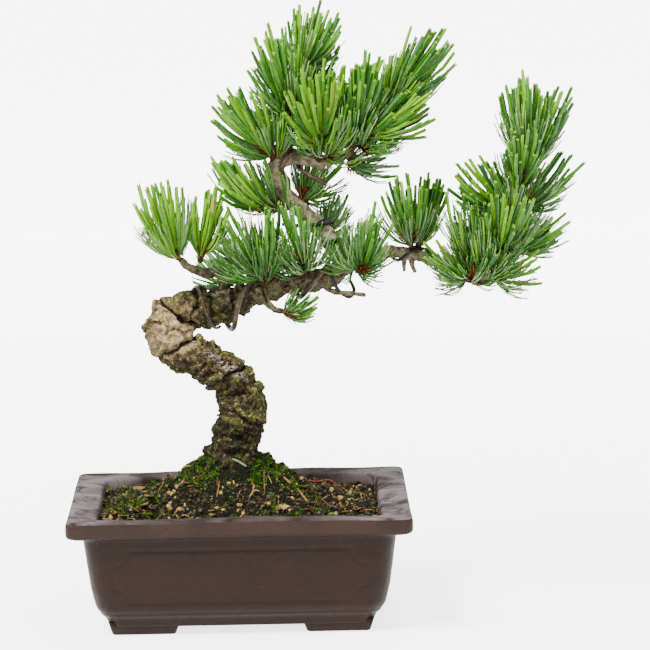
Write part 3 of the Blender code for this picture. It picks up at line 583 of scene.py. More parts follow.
@dataclass(frozen=True)
class BarkFinish:
    """Bark, scaly and lichened to smooth and pale by the values stored in the mesh."""

    name: str = "bark"
    plate: tuple = (98, 86, 55)
    plate_dark: tuple = (42, 34, 21)
    young: tuple = (164, 152, 126)
    young_dark: tuple = (100, 86, 64)
    lichen: tuple = (90, 92, 30)
    # Pale lichen crust, kept to the raised plates, so partly a painted highlight on their tops
    crust_and_highlight: tuple = (172, 162, 92)
    tan: tuple = (172, 146, 112)
    tan_dark: tuple = (88, 68, 45)
    # Black of the cracks and dark specks, and painted shade in the creases and along the plate
    # edges
    crack_and_shade: tuple = (10, 7, 4)
    bare: tuple = (160, 144, 124)
    # Near-black film where the base is damp, also painted shade there and at the elbow and fork
    moss: tuple = (16, 15, 7)

    def make(self) -> Material:
        """Builds the material.

        Returns:
            The material.
        """
        s = Shading(self.name, 0.9, 0.12)
        relief = s.attribute("relief")
        mottle = s.ramp(s.noise(0.32, 6, 0.3), 0.38, 0.62)
        old = s.blend(mottle, self.plate_dark, self.plate)
        old = s.blend(s.times(s.ramp(s.noise(0.14, 6, 0.6), 0.48, 0.6), 0.8), old, self.lichen)
        tan = s.blend(mottle, self.tan_dark, self.tan)
        old = s.blend(s.times(s.attribute("tan"), s.ramp(s.noise(0.2, 5), 0.2, 0.45)), old, tan)
        # Lichen crust on the raised parts of the relief, partly a painted highlight
        crust_and_highlight = s.times(s.ramp(s.noise(0.55, 6, 0.4), 0.54, 0.62), s.ramp(relief, 0.45, 0.75))
        old = s.blend(s.times(crust_and_highlight, 0.75), old, self.crust_and_highlight)
        young = s.blend(mottle, self.young_dark, self.young)
        both = s.blend(s.attribute("age"), young, old)
        cracks = s.ramp(s.noise(0.7, 3, 0.5, (0.35, 1.0, 1.9)), 0.52, 0.56)
        both = s.blend(s.attribute("bare"), both, s.blend(cracks, self.bare, self.crack_and_shade))
        rough = s.ramp(s.attribute("tan"), 1.0, 0.3)
        # Painted shade along the edges between the plates of old bark
        edges = s.ramp(s.cells(0.24, "DISTANCE_TO_EDGE", 4.5), 0.09, 0.0)
        edges = s.times(s.times(edges, s.attribute("age")), rough)
        both = s.blend(s.times(edges, 0.7), both, self.crack_and_shade)
        grit = s.times(s.ramp(s.noise(1.2, 8, 0.6), 0.47, 0.4), s.attribute("age"))
        both = s.blend(s.times(grit, 0.6), both, self.crack_and_shade)
        # Darkening by the damp value: damp film and painted shade towards the base, painted shade
        # at the elbow and fork
        damp_and_shade = s.times(s.attribute("damp"), s.ramp(s.noise(0.3, 5, 0.4), 0.3, 0.55))
        both = s.blend(s.times(damp_and_shade, 0.95), both, self.moss)
        # Painted shade where the relief lies deep
        both = s.blend(s.times(s.ramp(relief, 0.5, 0.2), 0.95), both, self.crack_and_shade)
        s.colour(both)
        s.bump(s.noise(1.1, 8, 0.6), 1.0, 1.0)
        s.bump(s.times(s.cells(0.24, "DISTANCE_TO_EDGE", 4.5), rough), 0.6, 0.8)
        s.bump(s.noise(0.5, 6, 0.4, (1.6, 1.0, 0.6)), 0.9, 0.7)
        return s.material


@dataclass(frozen=True)
class GlazeFinish:
    """Dark brown stoneware, satin, with small pits."""

    name: str = "stoneware"
    body: tuple = (33, 18, 10)
    shade: tuple = (27, 15, 9)
    pit: tuple = (5, 4, 3)
    speck: tuple = (110, 86, 54)

    def make(self) -> Material:
        """Builds the material.

        Returns:
            The material.
        """
        s = Shading(self.name, 0.5, 0.1)
        base = s.blend(s.ramp(s.noise(0.05, 5), 0.35, 0.65), self.shade, self.body)
        base = s.blend(s.times(s.ramp(s.noise(1.2, 4), 0.35, 0.7), 0.3), base, self.shade)
        pits = s.ramp(s.cells(0.16), 0.075, 0.05)
        base = s.blend(pits, base, self.pit)
        base = s.blend(s.ramp(s.cells(0.055), 0.03, 0.02), base, self.speck)
        s.colour(base)
        s.rough(s.noise(0.3, 4), 0.4, 0.62)
        s.bump(pits, 0.3, -0.6)
        s.bump(s.noise(0.12, 4), 0.5, 0.5)
        s.bump(s.noise(1.5, 3), 0.08, 0.5)
        return s.material


@dataclass(frozen=True)
class RimFinish:
    """Top of the rim, with pale lavender-grey scale left by watering, partly a painted sheen of the
    glaze.
    """

    name: str = "rim_scale_and_sheen"
    body: tuple = (27, 17, 12)
    # Pale scale, which also stands for a painted sheen
    scale: tuple = (94, 85, 86)
    edge: tuple = (18, 12, 10)

    def make(self) -> Material:
        """Builds the material.

        Returns:
            The material.
        """
        s = Shading(self.name, 0.8, 0.1)
        # Scale and painted sheen in clouds, stronger towards both ends of the rim
        ends = s.ramp(s.along("X", POT_MIDDLE[0]), 48.0, 84.0)
        scale_and_sheen = s.times(s.ramp(s.noise(0.045, 5, 0.8), 0.34, 0.58), s.times(ends, 0.35, "ADD"))
        base = s.blend(scale_and_sheen, self.body, self.scale)
        tide = s.noise(0.04, 2, 1.0)
        line = s.times(s.ramp(tide, 0.47, 0.49), s.ramp(tide, 0.52, 0.5))
        base = s.blend(s.times(line, s.times(ends, 0.8)), base, self.edge)
        base = s.blend(s.times(s.ramp(s.noise(0.9, 4), 0.4, 0.75), 0.2), base, self.body)
        s.colour(base)
        s.rough(s.noise(0.2, 4), 0.68, 0.92)
        s.bump(tide, 0.9, 0.4)
        s.bump(s.noise(0.18, 4), 0.4, 0.4)
        return s.material


@dataclass(frozen=True)
class WallFinish:
    """Inside of the pot, stained olive grey by damp."""

    name: str = "damp_wall"
    dry: tuple = (70, 64, 46)
    damp: tuple = (32, 28, 16)

    def make(self) -> Material:
        """Builds the material.

        Returns:
            The material.
        """
        s = Shading(self.name, 0.6, 0.15)
        s.colour(s.blend(s.ramp(s.noise(0.12, 6, 0.5), 0.35, 0.65), self.damp, self.dry))
        s.bump(s.noise(0.8, 5), 0.25, 0.6)
        return s.material


@dataclass(frozen=True)
class GrainFinish:
    """Small thing of soil, stone, moss or leaf: a base colour with patches of a second one."""

    name: str
    base: tuple
    patch: tuple
    roughness: float = 0.85
    scale: float = 0.8
    depth: float = 0.15
    specular: float = 0.12

    def make(self) -> Material:
        """Builds the material.

        Returns:
            The material.
        """
        s = Shading(self.name, self.roughness, self.specular)
        s.colour(s.blend(s.ramp(s.noise(self.scale, 4), 0.38, 0.62), self.base, self.patch))
        s.bump(s.noise(self.scale * 2.5, 4), self.depth, 0.7)
        return s.material


@dataclass(frozen=True)
class WireFinish:
    """Annealed wire, dull, with rubbed places."""

    name: str
    base: tuple
    rubbed: tuple
    metallic: float

    def make(self) -> Material:
        """Builds the material.

        Returns:
            The material.
        """
        s = Shading(self.name, 0.55, 0.2, self.metallic)
        s.colour(s.blend(s.ramp(s.noise(0.35, 4, 0.3), 0.45, 0.7), self.base, self.rubbed))
        s.rough(s.noise(0.6, 3), 0.42, 0.65)
        s.bump(s.noise(2.0, 3), 0.06, 0.5)
        return s.material


@dataclass(frozen=True)
class NeedleFinish:
    """One side of a needle."""

    name: str
    base: tuple
    patch: tuple
    roughness: float = 0.42

    def make(self) -> Material:
        """Builds the material.

        Returns:
            The material.
        """
        s = Shading(self.name, self.roughness, 0.22)
        s.colour(s.blend(s.ramp(s.noise(0.22, 3), 0.4, 0.6), self.base, self.patch))
        s.rough(s.noise(0.9, 2), self.roughness - 0.06, self.roughness + 0.1)
        return s.material


class Palette(Enum):
    """Finishes of one piece, in the order of their numbers in it."""

    @property
    def number(self) -> int:
        """Number of the finish in its piece."""
        return list(type(self)).index(self)

    @classmethod
    def materials(cls) -> list[Material]:
        """Materials of the piece, in order."""
        return [finish.value.make() for finish in cls]


class Green(Palette):
    """Finishes of a needle piece."""

    BRIGHT = NeedleFinish("needle_bright", (118, 172, 14), (98, 158, 10))
    LEAF = NeedleFinish("needle_leaf", (70, 132, 8), (55, 116, 7))
    DEEP = NeedleFinish("needle_deep", (36, 86, 12), (27, 70, 10))
    BLUE = NeedleFinish("needle_blue", (60, 104, 48), (46, 88, 36))
    PALE_SIDE = NeedleFinish("needle_pale_side", (158, 186, 132), (126, 162, 92), 0.5)
    GREEN_SIDE = NeedleFinish("needle_green_side", (64, 118, 22), (48, 98, 15), 0.5)
    TIP = NeedleFinish("needle_tip", (132, 176, 30), (110, 158, 20))
    SHEATH = NeedleFinish("needle_sheath", (96, 52, 16), (60, 32, 12), 0.6)
    DRY = NeedleFinish("needle_dry", (180, 146, 40), (150, 110, 30), 0.55)
    FROST = NeedleFinish("needle_frost", (106, 144, 86), (80, 120, 58), 0.5)


class ShootBark(Palette):
    """Finishes of the shoots and their scales."""

    STEM = GrainFinish("shoot_bark", (74, 54, 30), (40, 28, 15), 0.9, 1.1, 0.35)
    ORANGE = GrainFinish("scale_orange", (128, 66, 20), (92, 44, 14), 0.7)
    BROWN = GrainFinish("scale_brown", (70, 38, 16), (46, 25, 12), 0.7)
    STRAW = GrainFinish("scale_straw", (146, 106, 46), (112, 74, 30), 0.7)


class Fired(Palette):
    """Finishes of the pot."""

    BODY = GlazeFinish()
    RIM = RimFinish()
    WALL = WallFinish()
    # Lighter copy of the body glaze for the lip's front face: painted light
    LIT_LIP = GlazeFinish("stoneware_lip_lit", (47, 33, 26), (38, 27, 21))


@dataclass
class Pot:
    """Tray with a wide rim, tapering panelled sides, a base band and four corner feet."""

    width: float = POT_WIDTH
    depth: float = POT_DEPTH
    foot_length: float = 33.0
    foot_depth: float = 25.0
    foot_inset: float = 22.4
    foot_top: float = 7.0
    foot_flare: float = 2.6
    foot_rounding: float = 1.0
    foot_levels: tuple = ((0.0, 0.5), (0.5, 0.0), (3.5, 0.0), (7.0, 0.0))
    long_steps: int = 150
    short_steps: int = 112
    corner_steps: int = 9
    row_step: float = 0.85
    panel_half: float = 66.5
    panel_end_half: float = 36.0
    panel_low: float = 18.5
    panel_high: float = 47.5
    panel_notch: float = 8.5
    panel_sink: float = 0.22
    groove: float = 0.8
    groove_depth: float = 0.55
    band_height: float = 12.6
    band_half: float = 0.8
    band_depth: float = 0.35
    wall_spans: tuple = (2, 5)
    rim_spans: tuple = (9, 12)
    rim_height: float = 63.0
    rim_reach: float = 9.0
    rim_lift: float = -0.3
    back_rise: float = 1.1
    back_rise_right: float = 0.6
    back_reach: float = 50.0
    # Inset from the outside of the rim, radius of the corners and height
    profile: tuple = (
        (20.6, 7, 4.7), (18.6, 8, 9.5), (16.2, 9, 11.5), (13.8, 10, 16), (11.6, 10, 26),
        (9.8, 10, 40), (8.2, 9, 54.1), (1.6, 4, 55.7), (0.0, 4, 57.2), (0.0, 4, 64.2),
        (0.9, 4, 65.1), (14.8, 4, 64.0), (15.5, 4, 63.2), (16.2, 4, 56.3), (18.3, 5, 40),
        (20.3, 5, 26), (23.0, 5, 16), (28.0, 5, 11),
    )

    def ring(self, inset: float, radius: float, z: float) -> ndarray:
        """Rounded rectangle with even corners along each side.

        Args:
            inset: Distance in from the outside of the rim.
            radius: Radius of its corners.
            z: Height.

        Returns:
            Rows of x, y, z, counter-clockwise from above.
        """
        half = np.array((self.width / 2 - inset, self.depth / 2 - inset))
        middles = np.array(QUARTERS) * (half - radius)
        parts = []
        for quarter in range(len(QUARTERS)):
            angle = math.pi / 2 * (quarter + np.linspace(0, 1, self.corner_steps + 1))
            arc = middles[quarter] + radius * np.column_stack((np.cos(angle), np.sin(angle)))
            following = middles[(quarter + 1) % len(QUARTERS)]
            start = following + radius * np.array((math.cos(angle[-1]), math.sin(angle[-1])))
            count = (self.long_steps, self.short_steps)[quarter % 2]
            share = np.linspace(0, 1, count, endpoint=False)[1:, None]
            parts += [arc, arc[-1] + (start - arc[-1]) * share]
        ring = np.vstack(parts)
        return np.column_stack((ring, np.full(len(ring), z)))

    def courses(self) -> tuple[ndarray, ndarray]:
        """Close rows along the profile, with rounded arrises.

        Returns:
            Rows of inset, corner radius and height, and the span of the profile that each is in.
        """
        profile = np.array(self.profile, dtype=float)
        rows, spans = [], []
        for span in range(len(profile) - 1):
            length = np.linalg.norm(np.diff(profile[span:span + 2, [0, 2]], axis=0))
            count = max(1, int(round(length / self.row_step)))
            for step in range(count):
                rows.append(profile[span] + (profile[span + 1] - profile[span]) * step / count)
                spans.append(span)
        rows.append(profile[-1])
        spans.append(len(profile) - 2)
        rows = np.array(rows)
        for _ in range(2):
            rows[1:-1] = rows[:-2] * 0.25 + rows[1:-1] * 0.5 + rows[2:] * 0.25
        return rows, np.array(spans)

    def panel_line(self, along: ndarray, z: ndarray, half: float) -> ndarray:
        """Distance to the outline of a panel whose corners are cut back in quarter rounds.

        Args:
            along: Place along the wall.
            z: Height.
            half: Half the length of the panel.

        Returns:
            The distance, below 0 inside.
        """
        middle = (self.panel_low + self.panel_high) / 2
        reach = (self.panel_high - self.panel_low) / 2
        dx = np.abs(along) - half
        dz = np.abs(z - middle) - reach
        box = np.maximum(dx, dz)
        corner = self.panel_notch - np.hypot(dx, dz)
        return np.maximum(box, corner)

    def relief(self, points: ndarray, spans: ndarray) -> ndarray:
        """Depth of the grooves, cut into each wall.

        Args:
            points: Rings of corners.
            spans: Span of the profile that each ring is in.

        Returns:
            The depth at each corner.
        """
        x, y, z = np.moveaxis(points, -1, 0)
        wall = (spans >= self.wall_spans[0]) & (spans <= self.wall_spans[1])
        long_side = np.abs(y) / self.depth > np.abs(x) / self.width
        near = np.where(long_side, self.panel_line(x, z, self.panel_half),
                        self.panel_line(y, z, self.panel_end_half))
        line = np.exp(-(near / self.groove) ** 2) * self.groove_depth
        sunk = self.panel_sink / (1 + np.exp(near / 0.35))
        band = self.band_depth * np.exp(-((z - self.band_height) / self.band_half) ** 2)
        return np.where(wall[:, None], line + sunk + band, 0.0)

    def rim_heave(self, points: ndarray) -> ndarray:
        """How far the rim stands off its level: a slow wave, and a rise towards the back.

        Args:
            points: Rings of corners.

        Returns:
            The lift of each corner.
        """
        x, y, z = np.moveaxis(points, -1, 0)
        wave = (0.35 * np.sin(x * 0.045 + 1.1) + 0.3 * np.sin(y * 0.06)
                + 0.15 * np.sin(x * 0.16 + y * 0.11))
        rise = self.back_rise + self.back_rise_right * x / (self.width / 2)
        back = np.clip(y / self.back_reach, 0, 1) * rise
        near = np.exp(-((z - self.rim_height) / self.rim_reach) ** 2)
        return (wave + self.rim_lift + back) * near

    def build(self) -> None:
        """Builds and dresses the pot."""
        rows, spans = self.courses()
        rings = np.array([self.ring(*row) for row in rows])
        cut = self.relief(rings, spans)
        inward = -rings[..., :2].reshape(-1, 2) / (self.width, self.depth)
        across = np.abs(inward[:, :1]) > np.abs(inward[:, 1:])
        inward = np.where(across, inward * (1, 0), inward * (0, 1))
        rings[..., :2] += (unit(inward) * cut.ravel()[:, None]).reshape(*cut.shape, 2)
        rings[..., 2] += self.rim_heave(rings)
        strip = spans[:-1]
        first, last = self.rim_spans
        # The lip's front face takes the lighter copy of the glaze, painted light
        numbers = np.select(
            (strip > last, strip >= first, strip == first - 1),
            (Fired.WALL.number, Fired.RIM.number, Fired.LIT_LIP.number), Fired.BODY.number)
        stock = Stock()
        stock.loft(rings, numbers)
        for sign_x in (-1, 1):
            for sign_y in (-1, 1):
                self.add_foot(stock, sign_x, sign_y)
        settle(stock.piece("pot_body", Fired.materials()), "pot", ["pot"])

    def add_foot(self, stock: Stock, sign_x: int, sign_y: int) -> None:
        """Adds one corner foot, a block that widens upwards, with softened arrises.

        Args:
            stock: Where it goes.
            sign_x: Left end -1, right end 1.
            sign_y: Front -1, back 1.
        """
        outer = np.array((self.width, self.depth)) / 2 - self.foot_inset
        inner = outer - (self.foot_length, self.foot_depth)
        rings = []
        for z, soft in self.foot_levels:
            grow = self.foot_flare * z / self.foot_top - soft
            near = inner - grow
            far = outer + grow * (0.8 if grow > 0 else 1)
            corners = np.array((near, (far[0], near[1]), far, (near[0], far[1])))
            rounded = []
            for i in range(4):
                for other in (corners[i - 1], corners[(i + 1) % 4]):
                    rounded.append(corners[i] + unit(other - corners[i]) * self.foot_rounding)
            ring = np.array(rounded) * (sign_x, sign_y)
            if sign_x * sign_y < 0:
                ring = ring[::-1]
            rings.append(np.column_stack((ring, np.full(len(ring), z))))
        stock.loft(np.array(rings))


@dataclass(frozen=True)
class Grit:
    """One size of loose grain on the soil, and stones of its kind by x, y and size."""

    name: str
    count: int
    least: float
    most: float
    finishes: tuple
    off_mound: bool = False
    stones: tuple = ()


class Litter(Palette):
    """Finishes of the litter."""

    TWIG_TAN = GrainFinish("twig_tan", (128, 98, 56), (78, 56, 30))
    STRAW = GrainFinish("straw", (150, 126, 70), (118, 92, 46))
    NEEDLE_RED = GrainFinish("needle_red", (94, 44, 22), (66, 30, 16), 0.6)
    TWIG_BROWN = GrainFinish("twig_brown", (78, 50, 26), (48, 31, 17))
    LEAF_TAN = GrainFinish("leaf_tan", (116, 86, 34), (84, 64, 24), 0.6)
    LEAF_GREEN = GrainFinish("leaf_green", (84, 84, 20), (60, 62, 15), 0.6)
    LEAF_PALE = GrainFinish("leaf_pale", (122, 134, 100), (84, 96, 66), 0.6, 1.4)


class Moss(Palette):
    """Finishes of the moss."""

    BRIGHT = GrainFinish("moss_bright", (80, 112, 10), (54, 86, 7), 0.8)
    MID = GrainFinish("moss_mid", (35, 62, 6), (25, 46, 5), 0.8)
    DARK = GrainFinish("moss_dark", (16, 27, 5), (10, 17, 4), 0.85)


# Sticks that show one by one: points of x, y and height over the soil, half the thickness, finish
STICKS = (
    (((21, -8, 1.6), (27, -14, 1.2), (32, -20, 1.4), (36, -25, 0.8)), 0.7, Litter.TWIG_TAN),
    (((36, 2, 0.5), (42, 0, 4.5), (49, -2, 4.5), (56, -4, 0.6)), 0.45, Litter.NEEDLE_RED),
    (((19, -45, 0.3), (18.5, -44.5, 4.0), (19, -44, 8.0)), 0.35, Litter.TWIG_BROWN),
    (((13.5, -28, 0), (13.2, -28, 7), (13.4, -28, 13.5)), 0.38, Litter.TWIG_TAN),
    (((5, -33, 0.5), (7.2, -31.5, 2.5), (7.8, -30.5, 5.5)), 0.42, Litter.STRAW),
    (((7.2, -31.5, 2.5), (9, -31.5, 3.6), (10.5, -31.5, 3.8)), 0.38, Litter.STRAW),
    (((66, -46, 0.6), (70, -44, 2.6), (74, -42, 4.5)), 0.4, Litter.NEEDLE_RED),
    (((-7, -12.6, 2.0), (-2, -14.5, 1.8), (4, -16, 2.4)), 0.65, Litter.LEAF_PALE),
)
# Loose grain, by the piece that it makes
GRITS = (
    Grit("soil_crumbs", 9600, 0.35, 1.05,
         (GrainFinish("crumb_black", (9, 9, 6), (25, 24, 17), 0.8),
          GrainFinish("crumb_brown", (74, 64, 38), (36, 30, 17), 0.85),
          GrainFinish("crumb_mossy", (34, 58, 8), (12, 18, 5), 0.85))),
    Grit("soil_clods", 1300, 0.6, 1.4,
         (GrainFinish("clod_brown", (34, 26, 13), (56, 43, 23), 0.9),)),
    Grit("pebbles_tan", 210, 0.5, 1.9,
         (GrainFinish("pebble_tan", (150, 124, 72), (116, 92, 50), 0.7),), True,
         ((24, -36, 3.2), (21.5, -35.5, 2.2), (-11.5, -40, 1.7), (-8.5, -43, 1.4))),
    Grit("pebbles_grey", 420, 0.35, 1.2,
         (GrainFinish("pebble_grey", (96, 96, 84), (64, 64, 54), 0.7),), True),
)


@dataclass
class Soil:
    """Dark grainy soil with a mound round the trunk, and what lies and grows on it."""

    mound_x: float = -3.0
    mound_radius: float = 17.5
    mound_clear: float = 26.0
    squash: float = 1.22
    slope_runs: tuple = (0, 17.5, 22, 32, 43, 58, 75)
    slope_heights: tuple = (85, 85, 80.5, 73, 68, 63.5, 60)
    lump_rise: float = 0.9
    clod_rise: float = 4.2
    clod_spacing: float = 5.2
    wall_drop: float = 2.4
    wall_reach: float = 8.0
    half_x: float = 73.4
    half_y: float = 51.1
    bed: tuple = ((28.6, 11.4), (23.6, 16.2), (20.8, 26), (18.8, 40), (16.7, 54))
    lip: tuple = (16.4, 60)
    corner_power: float = 9.0
    middle_radius: float = 58.0
    rings: int = 70
    sides: int = 200
    trunk_radius: float = 12.0
    moss_tries: int = 26000
    moss_leaflets: int = 5
    bright_moss: tuple = (0.3, 0.36, 0.34)
    dark_moss: tuple = (0.06, 0.34, 0.6)
    stray_sticks: int = 110
    leaf_places: tuple = (
        (-66, -30), (-62, -36), (-58, -26), (-67, -42), (-60, -44), (-54, -40), (-63, -20),
        (-49, -33), (-52, -46), (-44, -42), (30, -44), (56, -38), (62, -30), (48, -42), (-30, -47),
        (20, -40),
    )
    left_leaves: int = 34
    stray_leaves: int = 26
    leaf_half_x: float = 74.2
    leaf_half_y: float = 52.0
    seed: int = 41

    def run(self, x: ndarray | float, y: ndarray | float) -> ndarray | float:
        """Distance from the middle of the mound, which is longer than it is deep."""
        return np.hypot(x - self.mound_x, y * self.squash)

    def height(self, x: ndarray, y: ndarray) -> ndarray:
        """Surface of the soil before its grain: nearly flat near the rim, rising to a mound.

        Args:
            x: Places to the right.
            y: Places away from the front.

        Returns:
            The heights.
        """
        run = self.run(x, y)
        height = np.interp(run, self.slope_runs, self.slope_heights)
        lumps = np.sin(x * 0.39 + 1.3) * np.cos(y * 0.39) + 0.6 * np.sin(x * 0.13 - y * 0.21 + 0.6)
        spots = np.column_stack((np.atleast_1d(x), np.atleast_1d(y))) / self.clod_spacing
        clods = np.array([noise.noise(Vector((a, b, 5.0))) for a, b in spots])
        rise = self.lump_rise * lumps + self.clod_rise * clods
        wall = np.minimum(self.half_x - np.abs(x), self.half_y - np.abs(y))
        rise = rise - self.wall_drop * np.exp(-(np.maximum(wall, 0) / self.wall_reach) ** 2)
        return height + np.where(run < self.mound_radius + 1, 0, rise)

    def grain(self, x: float, y: float) -> float:
        """Small heave of the crumbs."""
        place = Vector((x * 0.55, y * 0.55, 3.1))
        return 0.8 * noise.noise(place) + 0.5 * noise.noise(place * 2.7)

    def surface(self, x: float, y: float) -> float:
        """Height of the finished surface."""
        return float(self.height(np.array([x]), np.array([y]))[0]) + self.grain(x, y)

    def mossiness(self, x: float, y: float) -> float:
        """Moss cover at one place: a ridge round the mound, cushions right and left, a thin film.

        Args:
            x: Place to the right.
            y: Place away from the front.

        Returns:
            Share of the ground from 0 to 1.
        """
        run = self.run(x, y)
        off = x - self.mound_x
        patch = (noise.noise(Vector((x * 0.09, y * 0.09, 8.0)))
                 + 0.6 * noise.noise(Vector((x * 0.3, y * 0.3, 1.0))))
        flank = min(1.0, max(0.0, (abs(off) - 7) / 5 + max(0.0, y) / 8))
        ridge = math.exp(-((run - 20) / 8.0) ** 2) * flank * (2.4 + 2.2 * patch)
        right = 0.5 * (x > 14) * math.exp(-((run - 46) / 22) ** 2) * max(0.0, patch * 2.6 - 0.1)
        left = 0.9 * (patch > 0.32) * (x < -40)
        film = 0.5 * max(0.0, patch + 0.3) * math.exp(-(off / 60) ** 2)
        return min(1.0, max(0.0, ridge + right + left + film - 0.06))

    def edge_ring(self, inset: float, z: float) -> ndarray:
        """Ring just inside the wall.

        Args:
            inset: Distance in from the outside of the rim.
            z: Height.

        Returns:
            Rows of x, y, z.
        """
        angle = 2 * math.pi * (np.arange(self.sides) + 0.5) / self.sides
        ux, uy = np.cos(angle), np.sin(angle)
        power = self.corner_power
        reach = (np.abs(ux / (POT_WIDTH / 2 - inset)) ** power
                 + np.abs(uy / (POT_DEPTH / 2 - inset)) ** power) ** (-1 / power)
        return np.column_stack((ux * reach, uy * reach, np.full(self.sides, z)))

    def build_ground(self) -> None:
        """Builds the soil's body with its crumbled surface."""
        rings = [self.edge_ring(*level) for level in self.bed]
        rim = self.edge_ring(*self.lip)
        for i in range(self.rings):
            share = 1 - i / self.rings
            round_off = share ** 1.6
            far = np.hypot(rim[:, 0], rim[:, 1])
            mix = self.middle_radius / far * (1 - round_off) + round_off
            x = rim[:, 0] * share * mix + self.mound_x * (1 - share)
            y = rim[:, 1] * share * mix
            grain = np.array([self.grain(a, b) for a, b in zip(x, y)])
            z = self.height(x, y) + grain * min(1.0, 6 * i / self.rings)
            rings.append(np.column_stack((x, y, z)))
        stock = Stock()
        stock.loft(np.array(rings))
        finish = GrainFinish("soil_crumb", (9, 9, 5), (19, 17, 9), 0.95, 0.7, 0.6)
        settle(stock.piece("soil_ground", [finish.make()]), "soil", ["soil"])

    def places(self, rule: Generator, count: int) -> ndarray:
        """Even scatter of places on the soil, off the trunk.

        Args:
            rule: Source of chance.
            count: How many at most.

        Returns:
            Rows of x and y.
        """
        found = np.column_stack((rule.uniform(-self.half_x, self.half_x, count * 2),
                                 rule.uniform(-self.half_y, self.half_y, count * 2)))
        run = np.hypot(found[:, 0] - self.mound_x, found[:, 1])
        return found[run > self.trunk_radius][:count]

    def build_grit(self, grit: Grit, rule: Generator, ball: ndarray, faces: ndarray) -> None:
        """Scatters one size of grain over the soil: brown crumbs far off, mossy ones near the top.

        Args:
            grit: Which.
            rule: Source of chance.
            ball: Corners of a ball.
            faces: Its faces.
        """
        stock = Stock()
        for x, y in self.places(rule, grit.count):
            run = self.run(x, y)
            if grit.off_mound and run < self.mound_clear:
                continue
            number = 0
            if len(grit.finishes) > 1:
                mossy = 0.5 * math.exp(-((run - 14) / 16) ** 2) + 0.08
                brown = min(0.6, max(0.08, (run - 22) / 34)) * (1 - mossy)
                number = int(rule.choice(3, p=(1 - mossy - brown, brown, mossy)))
            size = grit.least + (grit.most - grit.least) * rule.random() ** 2.2
            stretch = rule.uniform(0.65, 1.25, 3) * size
            turn = Matrix.Rotation(rule.uniform(0, 6.28), 3, Vector(rule.normal(size=3)))
            lumps = ball * (1 + rule.uniform(-0.22, 0.22, (len(ball), 1)))
            stone = (lumps * stretch) @ np.array(turn).T
            stock.add(stone + (x, y, self.surface(x, y) + size * 0.25), faces, number)
        for x, y, size in grit.stones:
            lumps = ball * (1 + rule.uniform(-0.25, 0.25, (len(ball), 1)))
            stone = lumps * (size, size * 0.8, size * 0.6)
            stock.add(stone + (x, y, self.surface(x, y) + size * 0.2), faces)
        finishes = [finish.make() for finish in grit.finishes]
        settle(stock.piece(grit.name, finishes, smooth=False), "soil")

    def build_stones(self) -> None:
        """Scatters crumbs, clods and pebbles over the soil."""
        rule = default_rng(self.seed)
        shape = bmesh.new()
        bmesh.ops.create_icosphere(shape, subdivisions=1, radius=1.0)
        ball = np.array([tuple(v.co) for v in shape.verts])
        faces = np.array([[v.index for v in f.verts] for f in shape.faces])
        shape.free()
        for grit in GRITS:
            self.build_grit(grit, rule, ball, faces)

    def build_moss(self) -> None:
        """Grows cushions of short leaflets where the moss is."""
        rule = default_rng(self.seed + 1)
        roots, reach, numbers = [], [], []
        for x, y in self.places(rule, self.moss_tries):
            share = self.mossiness(x, y)
            if rule.random() > share:
                continue
            base = np.array((x, y, self.surface(x, y) - 0.2))
            tuft = rule.uniform(0.9, 1.5) * (0.6 + 0.7 * share)
            number = int(rule.choice(3, p=self.bright_moss if share > 0.35 else self.dark_moss))
            for _ in range(self.moss_leaflets):
                lean = unit(np.append(rule.normal(size=2) * 0.55, 1.0))
                roots.append(base + np.append(rule.normal(size=2) * 0.35, 0))
                reach.append(lean * tuft * rule.uniform(0.8, 1.5))
                numbers.append(number)
        roots, reach = np.array(roots), np.array(reach)
        side = unit(np.cross(reach, (0.3, 0.9, 0.1))) * 0.3
        other = unit(np.cross(reach, side)) * 0.3
        corners = np.stack((roots + side, roots - side * 0.5 + other, roots - side * 0.5 - other,
                            roots + reach), axis=1)
        base = np.arange(len(roots))[:, None] * 4
        faces = np.vstack([base + np.array(row) for row in ((0, 1, 3), (1, 2, 3), (2, 0, 3))])
        stock = Stock()
        stock.add(corners.reshape(-1, 3), faces, np.tile(numbers, 3))
        settle(stock.piece("moss", Moss.materials(), smooth=False), "soil")

    def add_stick(self, stock: Stock, points: Sequence, half: float, number: int) -> None:
        """Adds a thin stick through points of x, y and height over the soil."""
        stations = [(x, y, self.surface(x, y) + lift, half) for x, y, lift in points]
        stock.tubes(smooth_course(stations, 1.5), 5, number)

    def add_leaf(self, stock: Stock, rule: Generator, x: float, y: float) -> None:
        """Adds one small curled leaf, thick enough to have two sides.

        Args:
            stock: Where it goes.
            rule: Source of chance.
            x: Place to the right.
            y: Place away from the front.
        """
        size = rule.uniform(1.8, 3.4)
        angle = rule.uniform(0, 2 * math.pi)
        tilt = rule.uniform(0.1, 0.7)
        share = np.linspace(-1, 1, 7)
        width = np.sqrt(np.maximum(0.03, 1 - share ** 2)) * 0.62 * (1 + 0.15 * np.sin(share * 9))
        curl = 0.25 * share * share
        edge = curl + 0.18 * width
        rows = ((share, -width, edge), (share, 0 * share, curl - 0.1), (share, width, edge))
        top = np.stack([np.column_stack(row) for row in rows], axis=1) * size
        turn = np.array(Matrix.Rotation(angle, 3, "Z") @ Matrix.Rotation(tilt, 3, "X"))
        place = np.array((x, y, self.surface(x, y) + 1.0))
        rings = np.concatenate((top, top[:, ::-1] - (0, 0, 0.22)), axis=1) @ turn.T + place
        rings = np.clip(rings, (-self.leaf_half_x, -self.leaf_half_y, 0),
                        (self.leaf_half_x, self.leaf_half_y, 400))
        leaf = rule.choice((Litter.LEAF_TAN.number, Litter.LEAF_GREEN.number), p=(0.6, 0.4))
        stock.loft(rings, int(leaf))

